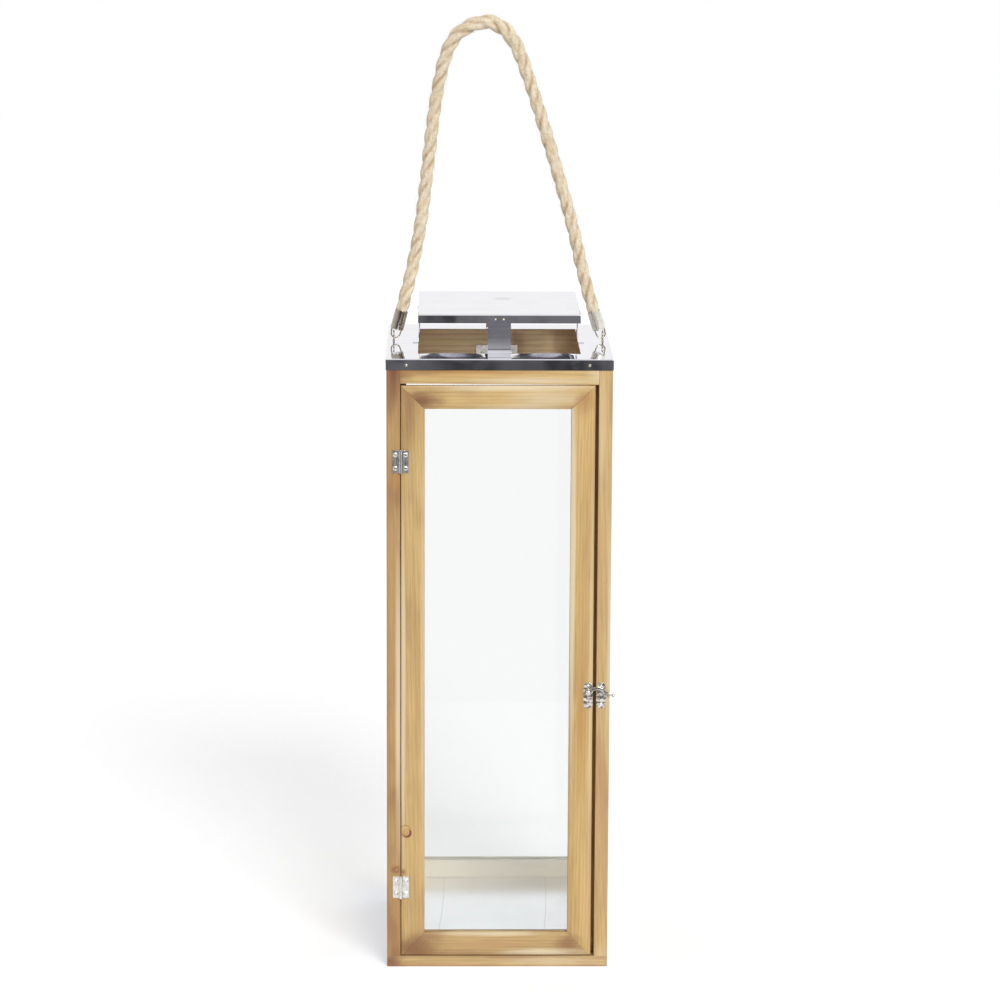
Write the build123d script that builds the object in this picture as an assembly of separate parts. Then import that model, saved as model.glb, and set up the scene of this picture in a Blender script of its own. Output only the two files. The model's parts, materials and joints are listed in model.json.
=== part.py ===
from build123d import *

import os
from math import atan2, cos, degrees, pi, radians, sin, tan

# Candle lantern: a glazed softwood case with a hinged front door, a folded steel roof with a raised
# vent cap, and a rope handle. Millimetres, +Z up, the door faces -Y. The origin is the middle of the
# case on the ground.

# Case of posts and rails
CASE_SIDE = 249.4
CASE_HEIGHT = 697.2
POST = 15.2
POST_ROUND = 1.6
POST_INNER_ROUND = 0.7
SILL_HEIGHT = 12.3
LINTEL_HEIGHT = 26.8
BOTTOM_RAIL_HEIGHT = 54.8
TOP_RAIL_HEIGHT = 52.0
GROOVE_DEPTH = 4.5
TENON_PLAY = 0.1
SILL_TENON_SIDE = 8.0
SILL_TENON_LENGTH = 5.0

# Glass
GLASS = 3.0
GLASS_PLAY = 0.2
PANE_EDGE_PLAY = 0.5

# Floor
BATTEN_DEPTH = 15.0
BOARD_THICK = 20.8
BOARD_PLAY = 0.3
FLOOR_SHEET = 0.6
FLOOR_SHEET_INSET = 0.5

# Door
DOOR_THICK = 14.6
DOOR_MEMBER = 26.4
DOOR_EDGE_EASE = 0.6
DOOR_BAND_WIDTH = 5.2
DOOR_BAND_DEPTH = 0.9
DOOR_LIP = 5.0
DOOR_BACK_RELIEF = 1.8
HINGE_SIDE_GAP = 0.7
LATCH_SIDE_GAP = 3.8
DOOR_TOP_GAP = 2.4
DOOR_BOTTOM_GAP = 1.0
BEVEL_WIDTH = 6.0
BEVEL_DEPTH = 2.5
REBATE_WIDTH = 6.0
BEAD_DEPTH = 5.0
BEAD_PLAY = 0.2
STOP_LAP = 6.5
STOP_SEAT = 3.5
STOP_DEPTH = 8.0

# Roof and vent cap, folded from steel sheet
SHEET = 0.8
SHEET_BEND = 1.2
ROOF_PLAY = 0.2
ROOF_RIM = 12.5
ROOF_MARGIN = 34.5
CAP_RIM = 9.8
CAP_TOP_ABOVE_ROOF = 44.0
STRAP_WIDTH = 25.5
STRAP_SHEET = 1.0
STRAP_FOOT = 29.0
SIDE_FOOT_CLEARANCE = 20.3
STRAP_BEND = 1.0
STRAP_HEADROOM = 0.5
RIVET_SPACING = 9.0
RIVET_RISE = 4.2
NAIL_INSET_LEFT = 22.0
NAIL_INSET_RIGHT = 25.7
NAIL_DROP = 7.0

# Metal plate on the inner face of the back top rail
BACK_PLATE_WIDTH = 48.0
BACK_PLATE_HEIGHT = 20.0
BACK_PLATE_SHEET = 1.2
BACK_PLATE_DROP = 20.8
BACK_PLATE_SCREW_SPACING = 33.2

# Butt hinges
HINGE_HEIGHT = 25.4
HINGE_LEAF_WIDTH = 9.1
HINGE_SHEET = 1.0
KNUCKLE_RADIUS = 1.9
HINGE_PIN_RADIUS = 0.8
HINGE_PIN_PLAY = 0.05
KNUCKLE_END_PLAY = 0.15
KNUCKLE_SWING_PLAY = 0.3
PIN_HEAD_RADIUS = 1.4
PIN_HEAD_HEIGHT = 0.7
UPPER_HINGE_DROP = 84.7
LOWER_HINGE_RISE = 80.6
HINGE_SCREW_OFFSET = 5.7
HINGE_SCREW_SPACING = 15.0

# Hook latch
LATCH_RISE = 304.1
LATCH_PLATE_WIDTH = 10.4
LATCH_PLATE_HEIGHT = 30.0
LATCH_PLATE_WAIST = 8.4
LATCH_PLATE_SHEET = 1.0
LATCH_PLATE_EDGE = 0.1
LATCH_SCREW_SPACING = 21.0
PIVOT_RISE = 3.7
PIVOT_RADIUS = 1.5
PIVOT_PLAY = 0.05
PIVOT_COLLAR_RADIUS = 2.8
PIVOT_COLLAR = 1.05
PIVOT_END_PLAY = 0.15
PIVOT_HEAD_RADIUS = 2.7
PIVOT_HEAD_HEIGHT = 1.2
PEG_DROP = 0.9
PEG_RADIUS = 2.2
PEG_LENGTH = 3.8
PEG_PLAY = 0.35
HOOK_SHEET = 1.5
HOOK_EYE_RADIUS = 3.6
HOOK_ARM = 3.6
HOOK_JAW_WALL = 3.3
HOOK_PRONG = 2.0
HOOK_LONG_PRONG = 4.6
HOOK_TAIL_ROOT = 2.8
HOOK_TAIL_TIP = 1.8
HOOK_REACH = 14.2
HOOK_TIP_RISE = 1.1
HOOK_BALL_RADIUS = 1.9

# Screw eyes, bails and ferrules
RING_WIRE = 1.6
RING_INNER = 8.2
EYE_NECK = 1.4
EYE_OUTSET = 0.9
EYE_SHANK_RADIUS = 1.2
EYE_SHANK_LENGTH = 18.0
BAIL_WIRE = 1.5
BAIL_PLAY = 0.65
BAIL_BEND = 4.9
BAIL_DEPTH = 10.0
BAIL_OFFSET = 2.0
BAIL_SPLAY = 7.0
FERRULE_WALL = 0.55
FERRULE_FLOOR = 1.2
FERRULE_LENGTH = 22.0
FERRULE_ROUND = 1.0
LEFT_TILT = 15.0
RIGHT_TILT = 18.0

# Rope handle, standing in the XZ plane. The two end runs follow the ferrules.
ROPE_RADIUS = 6.8
ROPE_PLAY = 0.05
ROPE_LEAD = 39.0
ROPE_ROUTE = [
    (-95.0, 791.4),
    (-86.8, 843.4),
    (-79.5, 913.4),
    (-69.5, 986.4),
    (-58.6, 1037.7),
    (-36.7, 1056.2),
    (-8.0, 1057.5),
    (15.5, 1040.9),
    (31.0, 995.4),
    (56.2, 915.9),
    (83.2, 827.9),
    (92.0, 788.9),
]
ROPE_ARC_SHARE = 0.45

# Fasteners: head radius, head height, shank radius, shank length
SCREW = (2.7, 1.0, 1.0, 9.0)
SMALL_SCREW = (1.9, 0.8, 0.8, 8.0)
NAIL = (1.7, 0.9, 0.8, 9.0)
RIVET_HEAD = (1.6, 0.8)
RIVET_TAIL = (1.5, 0.6)
RIVET_RADIUS = 0.9
FASTENER_PLAY = 0.05

# Places that follow from the sizes above
CASE_HALF = CASE_SIDE / 2
INNER_HALF = CASE_HALF - POST
FRONT = -CASE_HALF
RAIL_LENGTH = 2 * INNER_HALF
PANE_LINE = CASE_HALF - POST / 2
GROOVE_WIDTH = GLASS + 2 * GLASS_PLAY
TENON_THICK = GROOVE_WIDTH - 2 * TENON_PLAY
TENON_LENGTH = GROOVE_DEPTH - TENON_PLAY
TOP_RAIL_Z = CASE_HEIGHT - TOP_RAIL_HEIGHT
LINTEL_Z = CASE_HEIGHT - LINTEL_HEIGHT
FLOOR_Z = SILL_HEIGHT + BOARD_THICK
DOOR_LEFT = -INNER_HALF + HINGE_SIDE_GAP
DOOR_RIGHT = INNER_HALF - LATCH_SIDE_GAP
DOOR_BOTTOM = SILL_HEIGHT + DOOR_BOTTOM_GAP
DOOR_TOP = LINTEL_Z - DOOR_TOP_GAP
DOOR_WIDTH = DOOR_RIGHT - DOOR_LEFT
DOOR_HEIGHT = DOOR_TOP - DOOR_BOTTOM
DOOR_X = (DOOR_LEFT + DOOR_RIGHT) / 2
DOOR_Z = (DOOR_BOTTOM + DOOR_TOP) / 2
UPPER_HINGE_Z = DOOR_TOP - UPPER_HINGE_DROP
LOWER_HINGE_Z = DOOR_BOTTOM + LOWER_HINGE_RISE
LATCH_Z = DOOR_BOTTOM + LATCH_RISE
REBATE_DEPTH = GLASS + GLASS_PLAY + BEAD_DEPTH
ROOF_SIDE = CASE_SIDE + 2 * (ROOF_PLAY + SHEET)
ROOF_TOP = CASE_HEIGHT + SHEET
VENT_SIDE = CASE_SIDE - 2 * ROOF_MARGIN
CAP_SIDE = VENT_SIDE
CAP_TOP = ROOF_TOP + CAP_TOP_ABOVE_ROOF
CAP_BOTTOM = CAP_TOP - CAP_RIM
RIVET_Z = CAP_BOTTOM + RIVET_RISE
STRAP_FACE = -CAP_SIDE / 2 + SHEET
NAIL_LEFT = -CASE_HALF + NAIL_INSET_LEFT
NAIL_RIGHT = CASE_HALF - NAIL_INSET_RIGHT
NAIL_Z = ROOF_TOP - NAIL_DROP
BACK_PLATE_Z = CASE_HEIGHT - BACK_PLATE_DROP - BACK_PLATE_HEIGHT / 2
HINGE_X = -INNER_HALF + HINGE_SIDE_GAP / 2
HINGE_Y = FRONT - KNUCKLE_RADIUS - KNUCKLE_SWING_PLAY
LATCH_X = DOOR_RIGHT - LATCH_PLATE_EDGE - LATCH_PLATE_WIDTH / 2
KEEPER_X = INNER_HALF + LATCH_PLATE_EDGE + LATCH_PLATE_WIDTH / 2
LATCH_FACE = FRONT - LATCH_PLATE_SHEET
PIVOT = (LATCH_X, LATCH_Z + PIVOT_RISE)
PEG = (KEEPER_X, LATCH_Z - PEG_DROP)
HOOK_BACK = LATCH_FACE - PIVOT_COLLAR - PIVOT_END_PLAY
EYE_X = PANE_LINE + EYE_OUTSET
SIDE_STRAP_FOOT = EYE_X - VENT_SIDE / 2 - EYE_SHANK_RADIUS - SIDE_FOOT_CLEARANCE
RING_RADIUS = (RING_INNER + RING_WIRE) / 2
RING_Z = ROOF_TOP + EYE_NECK + RING_WIRE + RING_INNER / 2
BAIL_AXIS_Z = RING_Z - RING_INNER / 2 + BAIL_PLAY + BAIL_WIRE / 2
FERRULE_RADIUS = ROPE_RADIUS + ROPE_PLAY + FERRULE_WALL

parts = {}


# Helpers

UPWARD = (Align.CENTER, Align.CENTER, Align.MIN)
DOWNWARD = (Align.CENTER, Align.CENTER, Align.MAX)


def block(x0, x1, y0, y1, z0, z1):
    """A box between two corners."""
    corner = (Align.MIN, Align.MIN, Align.MIN)
    return Pos(x0, y0, z0) * Box(x1 - x0, y1 - y0, z1 - z0, align=corner)


def quarter_turns(shape):
    """The shape on each of the four sides of the case."""
    return [Rot(0, 0, 90 * turn) * shape for turn in range(4)]


def domed_fastener(head_radius, head_height, shank_radius, shank_length):
    """A domed head above z = 0, with its plain shank below."""
    dome_radius = (head_radius**2 + head_height**2) / (2 * head_height)
    dome = Pos(0, 0, head_height - dome_radius) * Sphere(dome_radius)
    head = dome & Cylinder(head_radius, head_height, align=UPWARD)
    return head + Cylinder(shank_radius, shank_length, align=DOWNWARD)


def shank_hole(shank_radius, shank_length, through=0.0):
    """The hole for a shank below z = 0, carried on above it through a plate."""
    hole = Cylinder(
        shank_radius + FASTENER_PLAY,
        shank_length + FASTENER_PLAY + through,
        align=DOWNWARD,
    )
    return Pos(0, 0, through) * hole


def facing_front(x, y, z, shape):
    """Puts a fastener at that place, with its head towards the front."""
    return Pos(x, y, z) * Rot(90, 0, 0) * shape


def fastened(places, face_y, kind):
    """The fasteners at those (x, z) places on a front face, and their holes."""
    shank_radius, shank_length = kind[2], kind[3]
    pieces = [facing_front(x, face_y, z, domed_fastener(*kind)) for x, z in places]
    holes = [
        facing_front(x, face_y, z, shank_hole(shank_radius, shank_length, FASTENER_PLAY))
        for x, z in places
    ]
    return pieces, holes


def group(shapes):
    return Compound(children=shapes)


# Case: posts, sill, lintel and rails


def front_post():
    """The left front post, standing on the sill, grooved behind for the side pane."""
    post = block(-CASE_HALF, -INNER_HALF, FRONT, -INNER_HALF, SILL_HEIGHT, CASE_HEIGHT)
    front_edges = post.edges().filter_by(Axis.Z).sort_by(Axis.Y)[:2].sort_by(Axis.X)
    inner_corner = front_edges[1]
    post = fillet(front_edges[0], POST_ROUND)
    inner_edges = post.edges().filter_by(Axis.Z).sort_by_distance(inner_corner.center())
    post = fillet(inner_edges[0], POST_INNER_ROUND)
    groove_half = GROOVE_WIDTH / 2
    groove = block(
        -PANE_LINE - groove_half,
        -PANE_LINE + groove_half,
        -INNER_HALF - GROOVE_DEPTH,
        -INNER_HALF,
        SILL_HEIGHT,
        CASE_HEIGHT,
    )
    mortise = block(
        -INNER_HALF - GROOVE_DEPTH,
        -INNER_HALF,
        -PANE_LINE - groove_half,
        -PANE_LINE + groove_half,
        LINTEL_Z,
        CASE_HEIGHT,
    )
    return post - groove - mortise + sill_tenon(-1, 0.0)


def sill_tenon(side, play):
    """The stub tenon under a front post, or with play the mortise that takes it."""
    half = SILL_TENON_SIDE / 2 + play
    x = side * PANE_LINE
    return block(
        x - half,
        x + half,
        -PANE_LINE - half,
        -PANE_LINE + half,
        SILL_HEIGHT - SILL_TENON_LENGTH - play,
        SILL_HEIGHT,
    )


def back_post():
    """The left back post, grooved for the side pane and for the back pane."""
    post = block(-CASE_HALF, -INNER_HALF, INNER_HALF, CASE_HALF, 0, CASE_HEIGHT)
    corner = post.edges().filter_by(Axis.Z).sort_by(Axis.X)[:2].sort_by(Axis.Y)[-1]
    post = fillet(corner, POST_ROUND)
    groove_half = GROOVE_WIDTH / 2
    side_groove = block(
        -PANE_LINE - groove_half,
        -PANE_LINE + groove_half,
        INNER_HALF,
        INNER_HALF + GROOVE_DEPTH,
        0,
        CASE_HEIGHT,
    )
    back_groove = block(
        -INNER_HALF - GROOVE_DEPTH,
        -INNER_HALF,
        PANE_LINE - groove_half,
        PANE_LINE + groove_half,
        0,
        CASE_HEIGHT,
    )
    return post - side_groove - back_groove


def rail(height, groove_on_top, tenon_from):
    """A rail along X with stub tenons on its ends and a groove for the pane along one edge."""
    length_half = RAIL_LENGTH / 2
    body = block(-length_half, length_half, -POST / 2, POST / 2, 0, height)
    groove_from = height - GROOVE_DEPTH if groove_on_top else 0
    groove = block(
        -length_half,
        length_half,
        -GROOVE_WIDTH / 2,
        GROOVE_WIDTH / 2,
        groove_from,
        groove_from + GROOVE_DEPTH,
    )
    tenon_to = height - GROOVE_DEPTH if groove_on_top else height
    tenon_from = tenon_from if groove_on_top else GROOVE_DEPTH
    reach = length_half + TENON_LENGTH
    tenons = block(-reach, reach, -TENON_THICK / 2, TENON_THICK / 2, tenon_from, tenon_to)
    return body - groove + tenons


def front_sill():
    sill = block(-CASE_HALF, CASE_HALF, FRONT, -INNER_HALF, 0, SILL_HEIGHT)
    front_corners = sill.edges().filter_by(Axis.Z).sort_by(Axis.Y)[:2]
    sill = fillet(front_corners, POST_ROUND)
    return sill - sill_tenon(-1, TENON_PLAY) - sill_tenon(1, TENON_PLAY)


def front_lintel():
    lintel = block(-INNER_HALF, INNER_HALF, FRONT, -INNER_HALF, LINTEL_Z, CASE_HEIGHT)
    reach = INNER_HALF + TENON_LENGTH
    tenons = block(
        -reach,
        reach,
        -PANE_LINE - TENON_THICK / 2,
        -PANE_LINE + TENON_THICK / 2,
        LINTEL_Z + TENON_PLAY,
        CASE_HEIGHT - TENON_PLAY,
    )
    return lintel + tenons


def pane():
    """A fixed pane along X, held in the grooves of two posts and two rails."""
    half = INNER_HALF + GROOVE_DEPTH - PANE_EDGE_PLAY
    return block(
        -half,
        half,
        -GLASS / 2,
        GLASS / 2,
        BOTTOM_RAIL_HEIGHT - GROOVE_DEPTH,
        TOP_RAIL_Z + GROOVE_DEPTH - PANE_EDGE_PLAY,
    )


def on_left(shape):
    return Pos(-PANE_LINE, 0, 0) * Rot(0, 0, 90) * shape


def on_back(shape):
    return Pos(0, PANE_LINE, 0) * shape


left_front_post = front_post()
left_back_post = back_post()
bottom_rail = rail(BOTTOM_RAIL_HEIGHT, True, SILL_HEIGHT + TENON_PLAY)
top_rail = Pos(0, 0, TOP_RAIL_Z) * rail(TOP_RAIL_HEIGHT, False, 0)

parts["front_left_post"] = left_front_post
parts["front_right_post"] = mirror(left_front_post, about=Plane.YZ)
parts["back_left_post"] = left_back_post
parts["back_right_post"] = mirror(left_back_post, about=Plane.YZ)
parts["front_sill"] = front_sill()
parts["front_top_rail"] = front_lintel()
parts["left_bottom_rail"] = on_left(bottom_rail)
parts["right_bottom_rail"] = mirror(on_left(bottom_rail), about=Plane.YZ)
parts["back_bottom_rail"] = on_back(bottom_rail)
parts["left_top_rail"] = on_left(top_rail)
parts["right_top_rail"] = mirror(on_left(top_rail), about=Plane.YZ)
parts["back_top_rail"] = on_back(top_rail)
parts["left_glass"] = on_left(pane())
parts["right_glass"] = mirror(on_left(pane()), about=Plane.YZ)
parts["back_glass"] = on_back(pane())

# Floor: two battens carry the base board, and a metal sheet covers it

board_half = INNER_HALF - BOARD_PLAY
parts["front_base_batten"] = block(
    -board_half, board_half, -INNER_HALF, -INNER_HALF + BATTEN_DEPTH, 0, SILL_HEIGHT
)
parts["back_base_batten"] = block(
    -board_half, board_half, INNER_HALF - BATTEN_DEPTH, INNER_HALF, 0, SILL_HEIGHT
)
parts["base_board"] = block(
    -board_half, board_half, -INNER_HALF, board_half, SILL_HEIGHT, FLOOR_Z
)
sheet_half = board_half - FLOOR_SHEET_INSET
parts["floor_plate"] = block(
    -sheet_half,
    sheet_half,
    -INNER_HALF + FLOOR_SHEET_INSET,
    sheet_half,
    FLOOR_Z,
    FLOOR_Z + FLOOR_SHEET,
)

# Stop strips behind the two long edges of the door. Each stands on the board, in a notch of the floor
# sheet, and has a seat on its post, between the side rails.
stop_inner = INNER_HALF - STOP_LAP
stop_back = -INNER_HALF + STOP_DEPTH
stop = block(stop_inner, INNER_HALF, -INNER_HALF, stop_back, FLOOR_Z, CASE_HEIGHT)
stop_seat = block(
    INNER_HALF,
    INNER_HALF + STOP_SEAT,
    -INNER_HALF,
    stop_back,
    BOTTOM_RAIL_HEIGHT,
    TOP_RAIL_Z,
)
parts["right_door_stop"] = stop + stop_seat
parts["left_door_stop"] = mirror(stop + stop_seat, about=Plane.YZ)
notch = block(
    stop_inner - FLOOR_SHEET_INSET,
    INNER_HALF,
    -INNER_HALF,
    stop_back + FLOOR_SHEET_INSET,
    FLOOR_Z,
    FLOOR_Z + FLOOR_SHEET,
)
parts["floor_plate"] = parts["floor_plate"] - notch - mirror(notch, about=Plane.YZ)

# Door: four mitred members, a pane in the rear rebate and four mitred beads behind it


def mitred_bar(section, length):
    """A bar along X with 45 degree ends. The section is (depth, width), and its length is at width 0."""
    width = max(point[1] for point in section)
    face = Plane.YZ * make_face(Polyline(*section, close=True))
    bar = extrude(face, amount=length / 2, both=True)
    depth = max(point[0] for point in section)
    cut = Polyline(
        (-length / 2, 0),
        (length / 2, 0),
        (length / 2 - width, width),
        (-length / 2 + width, width),
        close=True,
    )
    limits = Pos(0, depth, 0) * extrude(Plane.XZ * make_face(cut), amount=depth)
    return bar & limits


def door_side(bar, turn, inset):
    """Turns a bar whose outer edge is at z = 0 to one side of the door."""
    half_width = DOOR_WIDTH / 2 - inset
    half_height = DOOR_HEIGHT / 2 - inset
    reach = half_width if turn % 180 else half_height
    at = Pos(-reach * sin(radians(turn)), 0, -reach * cos(radians(turn)))
    return Pos(DOOR_X, FRONT, DOOR_Z) * at * Rot(0, turn, 0) * bar


LIP_BACK = DOOR_THICK - REBATE_DEPTH
MEMBER_SECTION = [
    (DOOR_BAND_DEPTH + DOOR_EDGE_EASE, 0),
    (DOOR_LIP, 0),
    (DOOR_THICK, DOOR_BACK_RELIEF),
    (DOOR_THICK, DOOR_MEMBER - REBATE_WIDTH),
    (LIP_BACK, DOOR_MEMBER - REBATE_WIDTH),
    (LIP_BACK, DOOR_MEMBER),
    (BEVEL_DEPTH, DOOR_MEMBER),
    (0, DOOR_MEMBER - BEVEL_WIDTH),
    (0, DOOR_BAND_WIDTH),
    (DOOR_BAND_DEPTH, DOOR_EDGE_EASE),
]
BEAD_WIDTH = REBATE_WIDTH - BEAD_PLAY
BEAD_SECTION = [
    (DOOR_THICK - BEAD_DEPTH, 0),
    (DOOR_THICK, 0),
    (DOOR_THICK, BEAD_WIDTH),
    (DOOR_THICK - BEAD_DEPTH, BEAD_WIDTH),
]
bead_inset = DOOR_MEMBER - REBATE_WIDTH + BEAD_PLAY
door_names = {
    0: "door_bottom_rail",
    90: "door_hinge_stile",
    180: "door_top_rail",
    270: "door_latch_stile",
}
beads = []
for turn, name in door_names.items():
    side_length = DOOR_HEIGHT if turn % 180 else DOOR_WIDTH
    parts[name] = door_side(mitred_bar(MEMBER_SECTION, side_length), turn, 0)
    bead = mitred_bar(BEAD_SECTION, side_length - 2 * bead_inset)
    beads.append(door_side(bead, turn, bead_inset))
parts["door_glazing_beads"] = group(beads)

glass_inset = DOOR_MEMBER - REBATE_WIDTH + PANE_EDGE_PLAY
parts["door_glass"] = block(
    DOOR_LEFT + glass_inset,
    DOOR_RIGHT - glass_inset,
    FRONT + LIP_BACK,
    FRONT + LIP_BACK + GLASS,
    DOOR_BOTTOM + glass_inset,
    DOOR_TOP - glass_inset,
)

# Butt hinges on the front faces, with their pins


def hinge_leaf(own_knuckle, side):
    """A leaf about the pin line at x = y = 0: side -1 is the post's, and 1 the door's."""
    face_y = KNUCKLE_RADIUS + KNUCKLE_SWING_PLAY
    clear = KNUCKLE_RADIUS + KNUCKLE_SWING_PLAY
    edges = sorted((side * clear, side * HINGE_LEAF_WIDTH))
    leaf = block(*edges, face_y - HINGE_SHEET, face_y, -HINGE_HEIGHT / 2, HINGE_HEIGHT / 2)
    for low, high in own_knuckle:
        barrel = Cylinder(KNUCKLE_RADIUS, high - low, align=UPWARD)
        web = block(*sorted((0, side * clear)), face_y - HINGE_SHEET, face_y, low, high)
        leaf = leaf + Pos(0, 0, low) * barrel + web
    return leaf - Cylinder(HINGE_PIN_RADIUS + HINGE_PIN_PLAY, HINGE_HEIGHT)


def hinge_pin():
    pin = Cylinder(HINGE_PIN_RADIUS, HINGE_HEIGHT)
    for end in (-1, 1):
        head_z = end * (HINGE_HEIGHT + PIN_HEAD_HEIGHT) / 2
        pin = pin + Pos(0, 0, head_z) * Cylinder(PIN_HEAD_RADIUS, PIN_HEAD_HEIGHT)
    return pin


third = HINGE_HEIGHT / 6
door_zone = [(-third + KNUCKLE_END_PLAY, third - KNUCKLE_END_PLAY)]
post_zones = [(-HINGE_HEIGHT / 2, -third), (third, HINGE_HEIGHT / 2)]
leaf_face = FRONT - HINGE_SHEET
post_screw_places = []
door_screw_places = []
for hinge_z in (UPPER_HINGE_Z, LOWER_HINGE_Z):
    for offset in (-HINGE_SCREW_SPACING / 2, HINGE_SCREW_SPACING / 2):
        post_screw_places.append((HINGE_X - HINGE_SCREW_OFFSET, hinge_z + offset))
        door_screw_places.append((HINGE_X + HINGE_SCREW_OFFSET, hinge_z + offset))
post_screws, post_holes = fastened(post_screw_places, leaf_face, SCREW)
door_screws, door_holes = fastened(door_screw_places, leaf_face, SCREW)
for level, hinge_z in (("upper", UPPER_HINGE_Z), ("lower", LOWER_HINGE_Z)):
    at = Pos(HINGE_X, HINGE_Y, hinge_z)
    parts[f"{level}_hinge_post_leaf"] = at * hinge_leaf(post_zones, -1) - post_holes
    parts[f"{level}_hinge_door_leaf"] = at * hinge_leaf(door_zone, 1) - door_holes
    parts[f"{level}_hinge_pin"] = at * hinge_pin()
parts["hinge_post_screws"] = group(post_screws)
parts["hinge_door_screws"] = group(door_screws)
parts["front_left_post"] -= post_holes
parts["door_hinge_stile"] -= door_holes

# Hook latch: a plate with the pivot on the door, a plate with the peg on the post, and the hook


def latch_plate(x):
    """A waisted plate with rounded ends on the front face."""
    end_radius = LATCH_PLATE_WIDTH / 2
    end_z = LATCH_PLATE_HEIGHT / 2 - end_radius
    outline = Rectangle(LATCH_PLATE_WAIST, 2 * end_z)
    for z in (-end_z, 0, end_z):
        outline += Pos(0, z) * Circle(end_radius)
    plate = extrude(Plane.XZ * outline, amount=LATCH_PLATE_SHEET)
    return Pos(x, FRONT, LATCH_Z) * plate


def front_cylinder(x, z, radius, y_front, y_back):
    """A round bar along Y between two depths."""
    bar = Cylinder(radius, y_back - y_front, align=UPWARD)
    return facing_front(x, y_back, z, bar)


def latch_pivot():
    """The rivet that the hook turns on, with a collar that holds the hook off the plate."""
    head_back = HOOK_BACK - HOOK_SHEET - PIVOT_END_PLAY
    collar_front = LATCH_FACE - PIVOT_COLLAR
    collar = front_cylinder(*PIVOT, PIVOT_COLLAR_RADIUS, collar_front, LATCH_FACE)
    shank_length = collar_front - head_back
    head = domed_fastener(PIVOT_HEAD_RADIUS, PIVOT_HEAD_HEIGHT, PIVOT_RADIUS, shank_length)
    return collar + facing_front(PIVOT[0], head_back, PIVOT[1], head)


def latch_hook():
    """The hook: an eye, an arm, a jaw over the peg and a tail with a ball to lift it by."""
    peg_x = PEG[0] - PIVOT[0]
    peg_z = PEG[1] - PIVOT[1]
    jaw_inner = PEG_RADIUS + PEG_PLAY
    jaw_outer = jaw_inner + HOOK_JAW_WALL
    jaw_middle = jaw_inner + HOOK_JAW_WALL / 2
    jaw_at = Pos(peg_x, peg_z)
    arm_end = (peg_x - jaw_middle * cos(pi / 4), peg_z + jaw_middle * sin(pi / 4))
    arm_turn = atan2(arm_end[1], arm_end[0])
    arm_length = (arm_end[0] ** 2 + arm_end[1] ** 2) ** 0.5
    arm = Rot(0, 0, degrees(arm_turn)) * Pos(arm_length / 2, 0) * Rectangle(arm_length, HOOK_ARM)
    tail_from = (peg_x + jaw_middle * cos(pi / 5), peg_z + jaw_middle * sin(pi / 5))
    tail_to = (peg_x + HOOK_REACH, peg_z + HOOK_TIP_RISE)
    tail = make_face(
        Polyline(
            (tail_from[0], tail_from[1] + HOOK_TAIL_ROOT / 2),
            (tail_from[0], tail_from[1] - HOOK_TAIL_ROOT / 2),
            (tail_to[0], tail_to[1] - HOOK_TAIL_TIP / 2),
            (tail_to[0], tail_to[1] + HOOK_TAIL_TIP / 2),
            close=True,
        )
    )
    jaw_box = Pos(0, (jaw_outer - HOOK_PRONG) / 2) * Rectangle(2 * jaw_outer, jaw_outer + HOOK_PRONG)
    jaw_box += Pos(jaw_outer / 2, -HOOK_LONG_PRONG / 2) * Rectangle(jaw_outer, HOOK_LONG_PRONG)
    jaw = jaw_at * (Circle(jaw_outer) & jaw_box)
    slot_turn = degrees(atan2(peg_z, peg_x))
    slot = Rot(0, 0, slot_turn) * Pos(0, -jaw_outer) * Rectangle(2 * jaw_inner, 2 * jaw_outer)
    outline = Circle(HOOK_EYE_RADIUS) + arm + jaw + tail
    outline = outline - jaw_at * Circle(jaw_inner) - jaw_at * slot
    outline = outline - Circle(PIVOT_RADIUS + PIVOT_PLAY)
    plate = extrude(Plane.XZ * outline, amount=HOOK_SHEET)
    ball = Pos(tail_to[0], -HOOK_SHEET / 2, tail_to[1]) * Sphere(HOOK_BALL_RADIUS)
    return Pos(PIVOT[0], HOOK_BACK, PIVOT[1]) * (plate + ball)


screw_heights = (LATCH_Z - LATCH_SCREW_SPACING / 2, LATCH_Z + LATCH_SCREW_SPACING / 2)
latch_screws, latch_holes = fastened([(LATCH_X, z) for z in screw_heights], LATCH_FACE, SMALL_SCREW)
keeper_screws, keeper_holes = fastened([(KEEPER_X, z) for z in screw_heights], LATCH_FACE, SMALL_SCREW)
parts["latch_plate"] = latch_plate(LATCH_X) - latch_holes
parts["latch_screws"] = group(latch_screws)
parts["latch_pivot"] = latch_pivot()
parts["latch_hook"] = latch_hook()
parts["keeper_plate"] = latch_plate(KEEPER_X) - keeper_holes
parts["keeper_screws"] = group(keeper_screws)
parts["keeper_peg"] = front_cylinder(*PEG, PEG_RADIUS, LATCH_FACE - PEG_LENGTH, LATCH_FACE)
parts["door_latch_stile"] -= latch_holes
parts["front_right_post"] -= keeper_holes

# Plate on the inner face of the back top rail

plate_face = INNER_HALF - BACK_PLATE_SHEET
plate_screw_places = [(side * BACK_PLATE_SCREW_SPACING / 2, BACK_PLATE_Z) for side in (-1, 1)]
plate_screws, plate_holes = fastened(plate_screw_places, plate_face, SCREW)
back_plate = block(
    -BACK_PLATE_WIDTH / 2,
    BACK_PLATE_WIDTH / 2,
    plate_face,
    INNER_HALF,
    BACK_PLATE_Z - BACK_PLATE_HEIGHT / 2,
    BACK_PLATE_Z + BACK_PLATE_HEIGHT / 2,
)
parts["back_rail_plate"] = back_plate - plate_holes
parts["back_plate_screws"] = group(plate_screws)
parts["back_top_rail"] -= plate_holes

# Roof tray, vent cap and the four straps between them


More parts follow.
